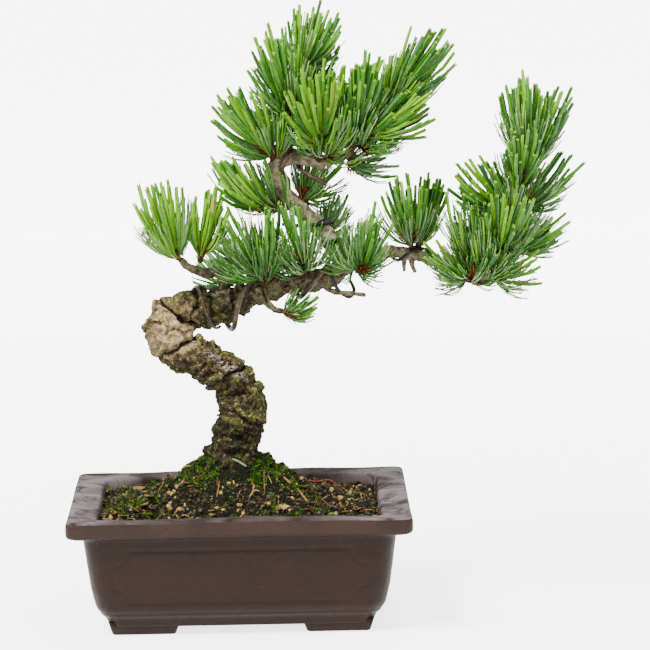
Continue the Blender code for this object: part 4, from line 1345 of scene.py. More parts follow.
    def build_litter(self) -> None:
        """Lays dry twigs, needles and leaves where they show, and strays between."""
        rule = default_rng(self.seed + 2)
        stock = Stock()
        for points, half, kind in STICKS:
            self.add_stick(stock, points, half, kind.number)
        for x, y in self.places(rule, self.stray_sticks):
            if self.run(x, y) < self.mound_clear and rule.random() < 0.7:
                continue
            angle = rule.uniform(0, math.pi)
            half = rule.uniform(1.5, 5.0)
            way = np.array((math.cos(angle), math.sin(angle))) * half
            ends = np.array(((x, y) - way, (x, y), (x, y) + way))
            ends[:, 0] = np.clip(ends[:, 0], -self.half_x, self.half_x)
            ends[:, 1] = np.clip(ends[:, 1], -self.half_y, self.half_y)
            lift = rule.uniform(0.3, 1.4, 3)
            number = int(rule.choice(4, p=(0.4, 0.3, 0.05, 0.25)))
            self.add_stick(stock, np.column_stack((ends, lift)), rule.uniform(0.22, 0.5), number)
        leaves = [*self.leaf_places]
        leaves += [(rule.uniform(-72, -46), rule.uniform(-50, 8)) for _ in range(self.left_leaves)]
        leaves += [tuple(p) for p in self.places(rule, self.stray_leaves)]
        for x, y in leaves:
            self.add_leaf(stock, rule, x, y)
        settle(stock.piece("litter", Litter.materials()), "soil")

    def build(self) -> None:
        """Builds everything in the pot."""
        self.build_ground()
        self.build_stones()
        self.build_moss()
        self.build_litter()


class Relief:
    """Knobs and folds round one length of the trunk."""

    def __init__(self, seed: int, knots: int, strength: float) -> None:
        """Deals out the knobs.

        Args:
            seed: Seed of the draw.
            knots: How many.
            strength: Their height.
        """
        rule = random.Random(seed)
        self.strength = strength
        self.places = np.array([
            (rule.random(), rule.uniform(0, 2 * math.pi), rule.uniform(0.5, 1.0) * strength,
             rule.uniform(0.25, 0.5), rule.uniform(2.5, 5.0)) for _ in range(knots)])

    def at(self, along: float, total: float, angle: ndarray) -> ndarray:
        """Lift of the skin all round one station.

        Args:
            along: Distance of the station from the start.
            total: Length of this part of the trunk.
            angle: Bearings round the station.

        Returns:
            The lift at each bearing.
        """
        lift = np.zeros_like(angle)
        for place, bearing, height, breadth, length in self.places:
            off = (along - place * total) / length
            turn = (np.mod(angle - bearing + math.pi, 2 * math.pi) - math.pi) / breadth
            lift += height * np.exp(-off * off - turn * turn * 0.25)
        fold = 0.35 * self.strength * np.sin(along * 0.62 + 1.5 * np.sin(angle + along * 0.05))
        return lift + fold - 0.25 * self.strength


@dataclass
class Limbs:
    """Trunk, boughs, dead twigs and stubs as one skin with the bark's relief."""

    sides: int = 64
    step: float = 1.1
    voxel: float = 0.62
    flare: float = 0.16
    flare_height: float = 7.0
    bar_sides: int = 20
    bar_step: float = 1.5
    collar: float = 1.25
    scale_rate: float = 0.21
    scale_lift: float = 0.85
    coarse_lift: float = 2.9
    fold_reach: float = 15.0
    bend_middle: tuple = (-36.6, -5.5, 153.6)
    bend_reach: float = 11.0
    bend_rings: int = 15
    bend_sides: int = 32
    # Lengths of the trunk: seed, number and height of the knobs
    trunk_knobs: tuple = (("trunk_lower", 11, 26, 2.0), ("trunk_middle", 5, 20, 1.4),
                          ("trunk_upper", 3, 12, 0.5))
    # Age of the bark along each length of the trunk, and that of the boughs
    trunk_ages: dict = field(default_factory=lambda: {
        "trunk_lower": ((0, 1), (1, 1)),
        "trunk_middle": ((0, 0.35, 0.62, 1), (1, 0.95, 0.65, 0.35)),
        "trunk_upper": ((0, 0.2, 1), (0.3, 0.12, 0.05))})
    bough_ages: dict = field(default_factory=lambda: {
        "bough_right": 0.12, "bough_left": 0.5, "bough_low": 0.6, "dead_twig": 0.6})
    bough_age: float = 0.4
    # Creases that run right round: middle, way across, half the width and depth
    folds: tuple = (
        ((-30, -8, 148), (-0.5, 0, 0.87), 1.1, 3.0), ((-32, -3, 164), (0.64, 0, 0.77), 1.0, 2.8),
        ((-6, -5, 131), (-0.41, 0, 0.91), 1.1, 2.6), ((3, -2, 108), (0.47, 0, 0.88), 1.1, 3.0),
        ((-2, 0, 98), (-0.07, 0.1, 1), 1.1, 1.4), ((2, -3, 119.5), (-0.15, 0.2, 0.97), 1.0, 1.1),
        ((-1, 6, 168), (0.98, 0, 0.2), 1.2, 1.8), ((-14, 8, 166), (0.99, 0.1, 0.13), 1.1, 1.5),
        ((-24, 6, 165), (0.95, 0.2, -0.2), 1.1, 1.4), ((14, 5, 174), (0.95, 0, 0.3), 1.0, 1.2),
        ((27, 3, 177), (0.97, 0, 0.1), 0.9, 1.0), ((-18, -8, 139), (-0.75, 0, 0.66), 1.0, 1.2),
        ((-38, -4, 157), (0.3, 0.2, 0.93), 1.0, 1.3), ((0, 0, 90), (0.1, 0, 1), 1.0, 1.0),
    )
    # Patches of the bark seen from the front: middle x and z, half the width and height
    tan_patch: tuple = (-34, 156, 13, 14)
    # The elbow and fork patches are painted shade
    shade_elbow: tuple = (-4, 168, 20, 10)
    shade_fork: tuple = (-12, 181, 14, 9)
    courses: dict = field(default_factory=dict)
    tree: BVHTree | None = None

    def add_trunk(self, stock: Stock) -> None:
        """Adds the three lengths of the trunk, kept from running through each other.

        Args:
            stock: Where they go.
        """
        whole = smooth_course(TRUNK_COURSE, TRUNK_STEP)
        self.courses["trunk"] = whole
        inner = [int(np.argmin(np.linalg.norm(whole[:, :3] - TRUNK_COURSE[i][:3], axis=1)))
                 for i in (HAIRPIN, ELBOW)]
        cuts = [0, *inner, len(whole) - 1]
        angle = np.linspace(0, 2 * math.pi, self.sides, endpoint=False)
        for part, (name, seed, knots, strength) in enumerate(self.trunk_knobs):
            relief = Relief(seed, knots, strength)
            fine = smooth_course(whole[cuts[part]:cuts[part + 1] + 1], self.step)
            self.courses[name] = fine
            _, side, other = frames(fine)
            run = distance_along(fine)
            rings = []
            for i, station in enumerate(fine):
                outward = side[i] * np.cos(angle)[:, None] + other[i] * np.sin(angle)[:, None]
                reach = station[3] + relief.at(run[i], run[-1], angle)
                if part == 0:
                    spread = self.flare * math.exp(-run[i] / self.flare_height)
                    reach = reach * (1 + spread * (0.45 + 0.55 * np.cos(5 * angle + 0.7)))
                # Any other stretch of the trunk stops the ring at the plane between the two
                away = whole[:, :3] - station[:3]
                far = np.linalg.norm(away, axis=1)
                keep = far > 2.5
                room = far[keep] * station[3] / (station[3] + whole[keep, 3]) + 0.2
                lean = outward @ (away[keep] / far[keep][:, None]).T
                room = np.where(lean > 0.05, room / np.maximum(lean, 0.05), 1e9).min(axis=1)
                rings.append(station[:3] + outward * np.minimum(reach, room)[:, None])
            if part == 0:
                rings.insert(0, rings[0] - UP * 2.0)
            stock.loft(np.array(rings))

    def add_bars(self, stock: Stock) -> None:
        """Adds the boughs, rooted inside their bearers and swollen a little where they leave.

        Args:
            stock: Where they go.
        """
        for name, (bearer, leave, stations, first, last) in BOUGHS.items():
            if leave is None:
                start = self.courses[bearer][-1, :3]
                inside = start - unit(start - self.courses[bearer][-3, :3]) * 2.0
                points = [inside, start]
            else:
                points = [np.array(leave, dtype=float)]
            points += [np.array(station, dtype=float) for station in stations]
            half = first + (last - first) * np.linspace(0, 1, len(points))
            half[0] *= self.collar
            course = smooth_course(np.column_stack((points, half)), self.bar_step)
            self.courses[name] = course
            run = distance_along(course)[:, None]
            angle = np.linspace(0, 2 * math.pi, self.bar_sides, endpoint=False)
            waves = np.sin(run * 0.9 + 2 * angle + len(name)) + np.sin(run * 0.43 - angle * 3)
            stock.tubes(course, self.bar_sides, 0, course[:, 3:4] + 0.09 * first * waves)

    def skin(self) -> Object:
        """One closed skin round all the limbs.

        Returns:
            The object before its fine relief.
        """
        stock = Stock()
        self.add_trunk(stock)
        self.add_bars(stock)
        turn = np.linspace(-1.4, 1.4, self.bend_rings)[:, None]
        rise, reach = self.bend_reach * np.sin(turn), self.bend_reach * np.cos(turn)
        stock.tubes(np.hstack((self.bend_middle + rise * UP, reach)), self.bend_sides)
        rough = stock.piece("limbs_rough", [])
        remesh = rough.modifiers.new("skin", "REMESH")
        remesh.mode = "VOXEL"
        remesh.voxel_size = self.voxel * MM
        bpy.context.view_layer.update()
        shown = rough.evaluated_get(bpy.context.evaluated_depsgraph_get())
        mesh = bpy.data.meshes.new_from_object(shown)
        bpy.data.objects.remove(rough)
        mesh.name = "limbs"
        thing = bpy.data.objects.new("limbs", mesh)
        bpy.context.scene.collection.objects.link(thing)
        return thing

    def measure(self, points: ndarray) -> tuple[ndarray, ndarray, ndarray, ndarray]:
        """Where each point of the skin is along its limb.

        Args:
            points: Rows of x, y, z.

        Returns:
            Age from 0 young to 1 old, distance along, outward direction and half the thickness.
        """
        rows, offset = [], 0.0
        for name, course in self.courses.items():
            if name == "trunk":
                continue
            run = distance_along(course)
            age = np.full(len(course), self.bough_ages.get(name, self.bough_age))
            if name in self.trunk_ages:
                age = np.interp(run / run[-1], *self.trunk_ages[name])
            rows.append(np.column_stack((course, tangents(course), age, run + offset)))
            offset += run[-1] + 40.0
        rows = np.vstack(rows)
        stations, flows, ages, runs = rows[:, :4], rows[:, 4:7], rows[:, 7], rows[:, 8]
        tree = KDTree(len(stations))
        for i, station in enumerate(stations):
            tree.insert(Vector(station[:3]), i)
        tree.balance()
        nearest = np.empty(len(points), dtype=int)
        for i, point in enumerate(points):
            hits = tree.find_n(Vector(point), 4)
            nearest[i] = min(hits, key=lambda hit: hit[2] - stations[hit[1], 3])[1]
        away = points - stations[nearest, :3]
        along = np.einsum("ij,ij->i", away, flows[nearest])
        outward = away - flows[nearest] * along[:, None]
        return ages[nearest], runs[nearest] + along, outward, stations[nearest, 3]

    def bark_relief(self, points: ndarray, age: ndarray, run: ndarray,
                    outward: ndarray, half: ndarray) -> tuple[ndarray, ndarray]:
        """Folds, scales and crumbs of the bark.

        Args:
            points: Rows of x, y, z.
            age: From 0 young to 1 old.
            run: Distance along the limb.
            outward: Way from the middle of the limb.
            half: Half the thickness there.

        Returns:
            Lift of each point, and how deep it lies from 0 to 1.
        """
        count = len(points)
        wobble, coarse, scale, crumb, wrinkle = np.empty((5, count))
        for i in range(count):
            point = Vector(points[i])
            wobble[i] = noise.noise(point * 0.17)
            across = (outward[i, 1] + outward[i, 2]) * 0.2
            coarse[i] = noise.noise(Vector((run[i] * 0.1, outward[i, 0] * 0.16, across)))
            push = Vector((wobble[i], coarse[i], 0)) * 0.9
            near = noise.voronoi(point * self.scale_rate + push)[0]
            scale[i] = near[1] - near[0]
            crumb[i] = noise.noise(point * 0.34) + 0.55 * noise.noise(point * 0.85)
            wrinkle[i] = math.sin(run[i] * 1.7 + 5 * noise.noise(point * 0.11))
        old = age ** 1.5
        smooth = self.patch(points, self.tan_patch)
        crumb *= 1 - 0.75 * smooth
        coarse *= 1 - 0.5 * smooth
        scales = (1 - 0.85 * smooth) * old * self.scale_lift * (np.minimum(scale / 0.24, 1) - 0.8)
        small = (0.1 + 0.26 * old) * crumb + 0.15 * old * wrinkle
        folds = self.fold_relief(points, wobble)
        slim = np.clip(half / 6.0, 0.25, 1.0)
        lift = slim * (self.coarse_lift * old * coarse + scales + small)
        lift = lift + folds * np.clip(age * 1.4, 0.2, 1)
        level = (0.64 + slim * (scales * 0.62 + small * 0.5) / np.maximum(0.4, old)
                 + folds * 0.32 + 0.2 * old * coarse)
        return lift, np.clip(level, 0, 1)

    def fold_relief(self, points: ndarray, wobble: ndarray) -> ndarray:
        """Creases with raised lips.

        Args:
            points: Rows of x, y, z.
            wobble: How far each point strays from the crease's plane.

        Returns:
            Lift of each point.
        """
        folds = np.zeros(len(points))
        for place, cut, width, depth in self.folds:
            away = points - place
            across = away @ unit(np.array(cut, dtype=float)) + 2.2 * wobble
            near = np.exp(-(np.linalg.norm(away, axis=1) / self.fold_reach) ** 4)
            lips = 0.4 * depth * np.exp(-((np.abs(across) - 2.3 * width) / (1.7 * width)) ** 2)
            folds += near * (lips - depth * np.exp(-(across / width) ** 2))
        return folds

    @staticmethod
    def patch(points: ndarray, place: tuple) -> ndarray:
        """Share at each point of a soft-edged patch, as seen from the front."""
        x, z, wide, high = place
        return np.exp(-((points[:, 0] - x) / wide) ** 4 - ((points[:, 2] - z) / high) ** 4)

    def stains(self, points: ndarray) -> dict[str, ndarray]:
        """Where the bark is tan or bare, and how dark it is: damp and painted shade towards the
        base, painted shade at the elbow and fork.

        Args:
            points: Rows of x, y, z.

        Returns:
            Values from 0 to 1 by name.
        """
        x, y, z = points.T
        strip = np.exp(-(((x + 6) * 0.57 + (z - 137.5) * 0.82) / 2.4) ** 2 - ((x + 6) / 12) ** 4)
        # Darker towards the base, partly damp and partly painted shade; painted shade at the elbow
        # and fork
        damp = np.clip((110 - z) / 18, 0, 1) * 0.9 + 0.4 * np.clip((134 - z) / 8, 0, 1)
        damp += 0.7 * self.patch(points, self.shade_elbow)
        damp += 0.65 * self.patch(points, self.shade_fork)
        return {"tan": self.patch(points, self.tan_patch),
                "bare": np.where(y < 2, np.clip(strip * 1.8 - 0.4, 0, 1), 0), "damp": damp}

    def build(self) -> None:
        """Builds and dresses the limbs."""
        thing = self.skin()
        mesh = thing.data
        count = len(mesh.vertices)
        points, normals = np.empty((2, count * 3))
        mesh.vertices.foreach_get("co", points)
        mesh.vertices.foreach_get("normal", normals)
        points = (points.reshape(-1, 3) - POT_MIDDLE) / MM
        age, run, outward, half = self.measure(points)
        lift, level = self.bark_relief(points, age, run, outward, half)
        points += normals.reshape(-1, 3) * lift[:, None]
        mesh.vertices.foreach_set("co", placed(points).astype(np.float32).ravel())
        mesh.update()
        for name, values in {"relief": level, "age": age, **self.stains(points)}.items():
            kept = mesh.attributes.new(name, "FLOAT", "POINT")
            kept.data.foreach_set("value", np.clip(values, 0, 1).astype(np.float32))
        mesh.materials.append(BarkFinish().make())
        mesh.polygons.foreach_set("use_smooth", [True] * len(mesh.polygons))
        faces = [tuple(f.vertices) for f in mesh.polygons]
        self.tree = BVHTree.FromPolygons([tuple(p) for p in points], faces)
        settle(thing, "bark", ["trunk_lower", "trunk_middle", "trunk_upper", *BOUGHS])


@dataclass(frozen=True)
class Winding:
    """One wire wound round a limb.

    It runs between two shares of the limb's length, clockwise where the turns are below 0. Round
    the place across named hang it drops off the limb, and slant sets its turns askew.
    """

    name: str
    bearer: str
    start: float
    stop: float
    turns: float
    phase: float
    half: float
    hang: float = 0.0
    drop: float = 0.0
    slant: float = 0.0


@dataclass
class Wires:
    """Training wires that lie on the bark."""

    limbs: Limbs
    hang_length: float = 6.0
    turn_steps: int = 26
    step: float = 0.9
    sides: int = 12
    brown_from: float = 1.2
    # Ends that stand off the limbs: wire, then x, y, z and half the gauge
    loose_ends: tuple = (
        ("wire_top", ((33, 4.5, 243, 1.3), (34.5, 0, 239.8, 1.3), (38.5, -4.5, 237.3, 1.3),
                      (48.5, -5.5, 232, 1.3))),
        ("wire_upper", ((25, -1, 210.3, 0.9), (36, 0.2, 209.2, 1.1), (45, 1, 210, 1.1),
                        (53, 0, 211, 0.8))),
        ("wire_upper", ((46, -1.2, 200.8, 0.9), (53, -1.2, 199.2, 1.1), (59, 0, 197.6, 0.8))),
        ("wire_upper", ((50, -7.2, 186, 0.8), (51.5, -8, 181, 1.0), (54.5, -7, 175, 1.0),
                        (60, -5, 171.5, 1.0), (62.5, -3, 175, 1.0), (60, -2, 181, 0.8))),
    )
    windings: tuple = (
        Winding("wire_trunk", "trunk_middle", 0.34, 0.96, -1.72, 5.19, 1.45, 1.0, 7.0, 0.03),
        Winding("wire_trunk", "trunk_middle", 0.20, 0.335, 0.85, -1.1, 0.75),
        Winding("wire_upper", "trunk_upper", 0.02, 0.36, -2.27, 5.35, 1.1),
        Winding("wire_top", "trunk_upper", 0.50, 0.94, -0.77, 4.04, 1.3),
        Winding("wire_bough", "bough_right", 0.36, 0.70, -1.1, 4.36, 0.95),
    )

    def course(self, winding: Winding) -> ndarray:
        """Course of one wire, held on the outside of the bark.

        Args:
            winding: Sizes of the wire.

        Returns:
            Stations with half the gauge in the fourth column.
        """
        limb = self.limbs.courses[winding.bearer]
        rows = np.column_stack((limb[:, :3], *frames(limb)[1:]))
        count = int(abs(winding.turns) * self.turn_steps)
        lasts = len(limb) - 1
        middles, outwards, reaches = [], [], []
        for i in range(count + 1):
            angle = winding.phase + 2 * math.pi * winding.turns * i / count
            share = (winding.start + (winding.stop - winding.start) * i / count
                     + winding.slant * (math.cos(angle) - math.cos(winding.phase))) * lasts
            low = max(0, min(int(share), lasts - 1))
            part = share - low
            middle, side, other = (rows[low] * (1 - part) + rows[low + 1] * part).reshape(3, 3)
            outward = unit(side * math.cos(angle) + other * math.sin(angle))
            start = middle + outward * (limb[low, 3] * 1.7 + 3)
            hit = self.limbs.tree.ray_cast(Vector(start), Vector(-outward))
            reach = limb[low, 3]
            if hit[0] is not None:
                reach = float(np.dot(np.array(hit[0]) - middle, outward))
            middles.append(middle)
            outwards.append(outward)
            reaches.append(min(reach, limb[low, 3] * 1.5 + 1.5))
        reaches = np.array(reaches)
        held = np.array([reaches[max(0, i - 2):i + 3].max() for i in range(len(reaches))])
        held = np.convolve(np.pad(held, 2, mode="edge"), np.ones(5) / 5, mode="valid")
        middles, outwards = np.array(middles), np.array(outwards)
        near = np.exp(-((middles[:, 0] - winding.hang) / self.hang_length) ** 2)
        loose = winding.drop * near * np.maximum(0, -outwards[:, 2]) ** 2
        stations = middles + outwards * (held + loose + winding.half + 0.05)[:, None]
        return np.column_stack((stations, np.full(len(stations), winding.half)))

    def build(self) -> None:
        """Builds and dresses the wires."""
        brown = WireFinish("wire_brown", (48, 36, 25), (88, 70, 52), 0.15).make()
        black = WireFinish("wire_black", (10, 9, 9), (30, 27, 26), 0.25).make()
        for name in dict.fromkeys(winding.name for winding in self.windings):
            stock = Stock()
            joined = [winding for winding in self.windings if winding.name == name]
            courses = [self.course(winding) for winding in joined]
            courses += [np.array(end, dtype=float) for owner, end in self.loose_ends
                        if owner == name]
            for course in courses:
                course = smooth_course(course, self.step)
                rounded = course[[0, *range(len(course)), -1]].copy()
                way = tangents(course)
                rounded[0, :3] -= way[0] * 0.15
                rounded[-1, :3] += way[-1] * 0.15
                rounded[[0, -1], 3] *= 0.8
                stock.tubes(rounded, self.sides)
            thick = joined[0].half > self.brown_from
            piece = stock.piece(name + "_wound", [brown if thick else black])
            settle(piece, "brown_wire" if thick else "black_wire", [name])


@dataclass
class Foliage:
    """Needles in bundles of five round the end of every shoot, with the shoots and their scales."""

    limbs: Limbs
    bundles: float = 2.7
    open_bundles: float = 0.8
    stem_half: float = 1.3
    stem_tip: float = 1.0
    stem_sides: int = 9
    shortest_stem: float = 6.0
    needle_width: float = 1.3
    thin_width: float = 0.8
    lowest: float = 140.0
    deepest: float = 64.0
    lowest_heading: float = -0.32
    depth_lean: float = 0.028
    deepest_lean: float = 0.65
    dry_from: float = 0.9965
    bright_from: float = 0.73
    leaf_from: float = 0.34
    deep_from: float = 0.04
    shut_pale: float = 0.16
    open_pale: float = 0.4
    scales: int = 84
    side_scales: int = 30
    seed: int = 7
    ring_places: tuple = (0.0, 0.15, 0.42, 0.72, 0.97)
    ring_widths: tuple = (0.55, 0.85, 1.0, 1.0, 0.78)

    def stem(self, shoot: Shoot, first: ndarray | None) -> ndarray:
        """Course of one shoot's stem, rooted in its bearer.

        Args:
            shoot: The shoot.
            first: Course of the mass's first stem, if this one branches from it.

        Returns:
            Stations with half the thickness in the fourth column.
        """
        bearer, leave = shoot.bearer, shoot.leave
        tip = np.array(shoot.tip, dtype=float)
        if first is not None:
            start = first[1, :3]
            heading = unit(tip - start)
            inside = start
        elif leave is None:
            start = self.limbs.courses[bearer][-1, :3]
            heading = unit(start - self.limbs.courses[bearer][-3, :3])
            inside = start - heading * 1.5
        else:
            inside = np.array(leave, dtype=float)
            heading = unit(tip - inside)
            hit = self.limbs.tree.ray_cast(Vector(inside + heading * 16), Vector(-heading))
            start = np.array(hit[0]) if hit[0] is not None else inside + heading * 3
            if np.dot(start - inside, heading) < 0 or np.linalg.norm(start - inside) > 15:
                start = inside + heading * 3
        if np.dot(tip - start, heading) < self.shortest_stem:
            tip = start + heading * self.shortest_stem
        length = np.linalg.norm(tip - start)
        middle = start + heading * length * 0.4 + (tip - start) * 0.15
        points = [inside, start + heading * 0.5, middle, tip]
        half = (self.stem_half * 1.25, self.stem_half * 1.1, self.stem_half, self.stem_tip)
        return smooth_course(np.column_stack((points, half)), 1.0)

    def bundle_rows(self, course: ndarray, shoot: Shoot, rule: Generator,
                    airy: bool) -> list[tuple]:
        """Bundles round one stem by the part's own rule.

        Args:
            course: Course of the stem.
            shoot: The shoot.
            rule: Source of chance.
            airy: Whether most bundles stand open, and so are fewer.

        Returns:
            Rows of root, heading, length, share from the foot to the tip, and the stem's axis.
        """
        wanted = int(shoot.sprays * self.bundles * (self.open_bundles if airy else 1.0))
        last = len(course) - 1
        trunk = self.limbs.courses["trunk"]
        depth = max(-self.deepest_lean, min(self.deepest_lean, shoot.tip[1] * self.depth_lean))
        lean = math.radians(shoot.lean)
        axis = unit((math.sin(lean), depth, math.cos(lean)))
        side = unit(np.cross(axis, (0.21, 0.93, 0.3)))
        other = np.cross(axis, side)
        rows = []
        for attempt in range(wanted * 3):
            share = 1 - (attempt % wanted) / wanted
            along = (0.42 + 0.56 * share) * last
            low = min(int(along), last - 1)
            root = course[low, :3] + (course[low + 1, :3] - course[low, :3]) * (along - low)
            around = attempt * GOLDEN_ANGLE + rule.uniform(-0.4, 0.4)
            spread = math.radians(shoot.fan * (1.04 - 0.96 * share ** 1.2) + rule.uniform(-7, 7))
            outward = side * math.cos(around) + other * math.sin(around)
            heading = axis * math.cos(spread) + outward * math.sin(spread)
            heading[2] = max(heading[2], self.lowest_heading)
            heading = unit(heading)
            length = shoot.needle * (0.78 + 0.24 * share) * rule.uniform(0.82, 1.06)
            end = root + heading * length
            if end[2] < self.lowest or abs(end[1]) > self.deepest:
                continue
            middle = root + heading * length * 0.6
            gaps = np.linalg.norm(trunk[:, :3] - middle, axis=1) - trunk[:, 3]
            ends = np.linalg.norm(trunk[:, :3] - end, axis=1) - trunk[:, 3]
            if gaps.min() < 0.8 or ends.min() < 1.0:
                continue
            root = root + outward * (course[low, 3] * 0.6 + rule.uniform(0.0, 1.5))
            rows.append((root, heading, length, share, axis))
            if len(rows) >= wanted:
                break
        return rows

    def needles(self, rows: list[tuple], rule: Generator, airy: bool, sunny: float) -> dict:
        """Five needles for each bundle.

        Args:
            rows: Bundles.
            rule: Source of chance.
            airy: Whether most bundles stand open.
            sunny: How much brighter than most the tuft is, as painted light.

        Returns:
            Arrays of all needles by name.
        """
        roots, heads, lengths, shares, axes = (np.array(part) for part in zip(*rows))
        count = len(rows)
        side = unit(np.cross(heads, (0.37, 0.11, 0.92)))
        other = np.cross(heads, side)
        turn = rule.uniform(0, 2 * math.pi, count)
        closed = np.clip((shares - 0.2) / 0.35, 0.03, 0.96)
        if airy:
            closed = np.clip((shares - 0.62) / 0.5, 0.02, 0.6)
        shut = rule.random(count) < closed
        spread = np.where(shut, rule.uniform(0.0, 0.006, count), rule.uniform(0.05, 0.17, count))
        bow = np.where(shut, rule.uniform(0.3, 0.75, count), rule.uniform(0.3, 0.9, count))
        sway = side * np.sin(turn * 3)[:, None] + other * np.cos(turn * 3)[:, None]
        sway = sway * rule.uniform(0, 0.16, (count, 1))
        light = rule.random(count)
        lengths = lengths * np.where(shut, 1.0, rule.uniform(0.72, 1.0, count))
        upward = unit(axes + UP * 0.8)
        pull = upward - heads * np.einsum("ij,ij->i", upward, heads)[:, None]
        width = np.where(shut, self.needle_width, self.thin_width)
        # Brighter bundles take the paler glaucous green: painted light
        cool = np.where(light + sunny > 0.5, Green.FROST.number, Green.BLUE.number)
        parts = []
        for k in range(5):
            angle = turn + 2 * math.pi / 5 * k + rule.uniform(-0.25, 0.25, count)
            out = side * np.cos(angle)[:, None] + other * np.sin(angle)[:, None]
            start = roots + out * np.where(shut, 0.36, 0.25)[:, None]
            length = lengths * np.where(shut, rule.uniform(0.97, 1.0, count),
                                        rule.uniform(0.88, 1.0, count))
            chord = unit(heads + out * (spread + 0.004)[:, None]) * length[:, None]
            stray = np.where(shut, 0.0, rule.uniform(-0.06, 0.06, count))
            bend = pull * (length * (bow + stray))[:, None]
            bend += sway * length[:, None] - out * (length * spread * 0.3)[:, None]
            # Sunny masses take brighter greens: painted light
            shade = light + rule.uniform(-0.1, 0.1, count) + 0.3 * (shares - 0.45) + sunny
            outer = np.select(
                (shade > self.bright_from, shade > self.leaf_from, shade > self.deep_from),
                (Green.BRIGHT.number, Green.LEAF.number, Green.DEEP.number), Green.BLUE.number)
            outer = np.where(shut | (light + sunny > 0.72), outer, cool)
            pale = rule.random(count) < np.where(shut, self.shut_pale, self.open_pale)
            inner = np.where(pale, Green.PALE_SIDE.number, Green.GREEN_SIDE.number)
            dry = rule.random(count) > self.dry_from
            parts.append({
                "root": start, "chord": chord, "bend": bend, "out": out,
                "width": width * rule.uniform(0.88, 1.1, count),
                "outer": np.where(dry, Green.DRY.number, outer),
                "inner": np.where(dry, Green.DRY.number, inner), "sheath": shut & (light < 0.75)})
        return {name: np.concatenate([part[name] for part in parts]) for name in parts[0]}

    def add_needles(self, stock: Stock, needles: dict) -> None:
        """Adds the needles as slim curved wedges with a blunt tip.

        Args:
            stock: Where they go.
            needles: Arrays by name.
        """
        root, chord, bend, out = (needles[name] for name in ("root", "chord", "bend", "out"))
        width = needles["width"][:, None]
        count = len(root)
        corners = np.empty((count, len(self.ring_places) * 3 + 1, 3))
        for i, (t, w) in enumerate(zip(self.ring_places, self.ring_widths)):
            middle = root + (chord - bend) * t + bend * t * t
            flow = unit(chord - bend + 2 * bend * t)
            away = unit(out - flow * np.einsum("ij,ij->i", out, flow)[:, None])
            across = np.cross(flow, away) * width * w / 2
            corners[:, i * 3] = middle + across + away * width * 0.14 * w
            corners[:, i * 3 + 1] = middle - across + away * width * 0.14 * w
            corners[:, i * 3 + 2] = middle - away * width * 0.44 * w
        corners[:, -1] = root + chord
        start = np.arange(count)[:, None] * corners.shape[1]
        for i in range(len(self.ring_places) - 1):
            a, b, c = i * 3, i * 3 + 1, i * 3 + 2
            base = needles["sheath"] if i == 0 else np.zeros(count, dtype=bool)
            outer = np.where(base, Green.SHEATH.number, needles["outer"])
            inner = np.where(base, Green.SHEATH.number, needles["inner"])
            stock.add_faces(start + np.array((b, a, a + 3, b + 3)) + stock.count, outer)
            stock.add_faces(start + np.array((c, b, b + 3, c + 3)) + stock.count, inner)
            stock.add_faces(start + np.array((a, c, c + 3, a + 3)) + stock.count, inner)
        last = (len(self.ring_places) - 1) * 3
        end = last + 3
        tip = np.where(needles["outer"] == Green.DRY.number, Green.DRY.number, Green.TIP.number)
        for row in ((last + 1, last, end), (last + 2, last + 1, end), (last, last + 2, end)):
            stock.add_faces(start + np.array(row) + stock.count, tip)
        stock.add(corners.reshape(-1, 3), np.empty((0, 3), dtype=int))

    def add_scales(self, stock: Stock, course: ndarray, rule: Generator, count: int) -> None:
        """Adds the papery scales and sheaths round the end of a shoot.

        Args:
            stock: Where they go.
            course: Course of the stem.
            rule: Source of chance.
            count: How many.
        """
        flow = tangents(course)
        last = len(course) - 1
        for i in range(count):
            along = (0.4 + 0.6 * rule.random()) * last
            low = min(int(along), last - 1)
            root = course[low, :3]
            axis = flow[low]
            side = unit(np.cross(axis, (0.21, 0.93, 0.3)))
            other = np.cross(axis, side)
            angle = i * GOLDEN_ANGLE
            out = side * math.cos(angle) + other * math.sin(angle)
            away = unit(axis + out * rule.uniform(0.25, 0.9) + UP * 0.1)
            across = unit(np.cross(away, out)) * rule.uniform(0.4, 0.7)
            length = rule.uniform(3.5, 11.0)
            start = root + out * course[low, 3] * 0.8
            waist = start + away * length * 0.6
            corners = np.array((start + across, start - across, start + out * 0.5,
                                waist + across * 0.8, waist - across * 0.8, waist + out * 0.4,
                                start + away * length))
            quads = np.array(((0, 1, 4, 3), (1, 2, 5, 4), (2, 0, 3, 5)))
            tips = np.array(((3, 4, 6), (4, 5, 6), (5, 3, 6)))
            base = stock.count
            number = int(rule.choice((1, 2, 3)))
            stock.add(corners, quads, number)
            stock.add_faces(tips + base, number)

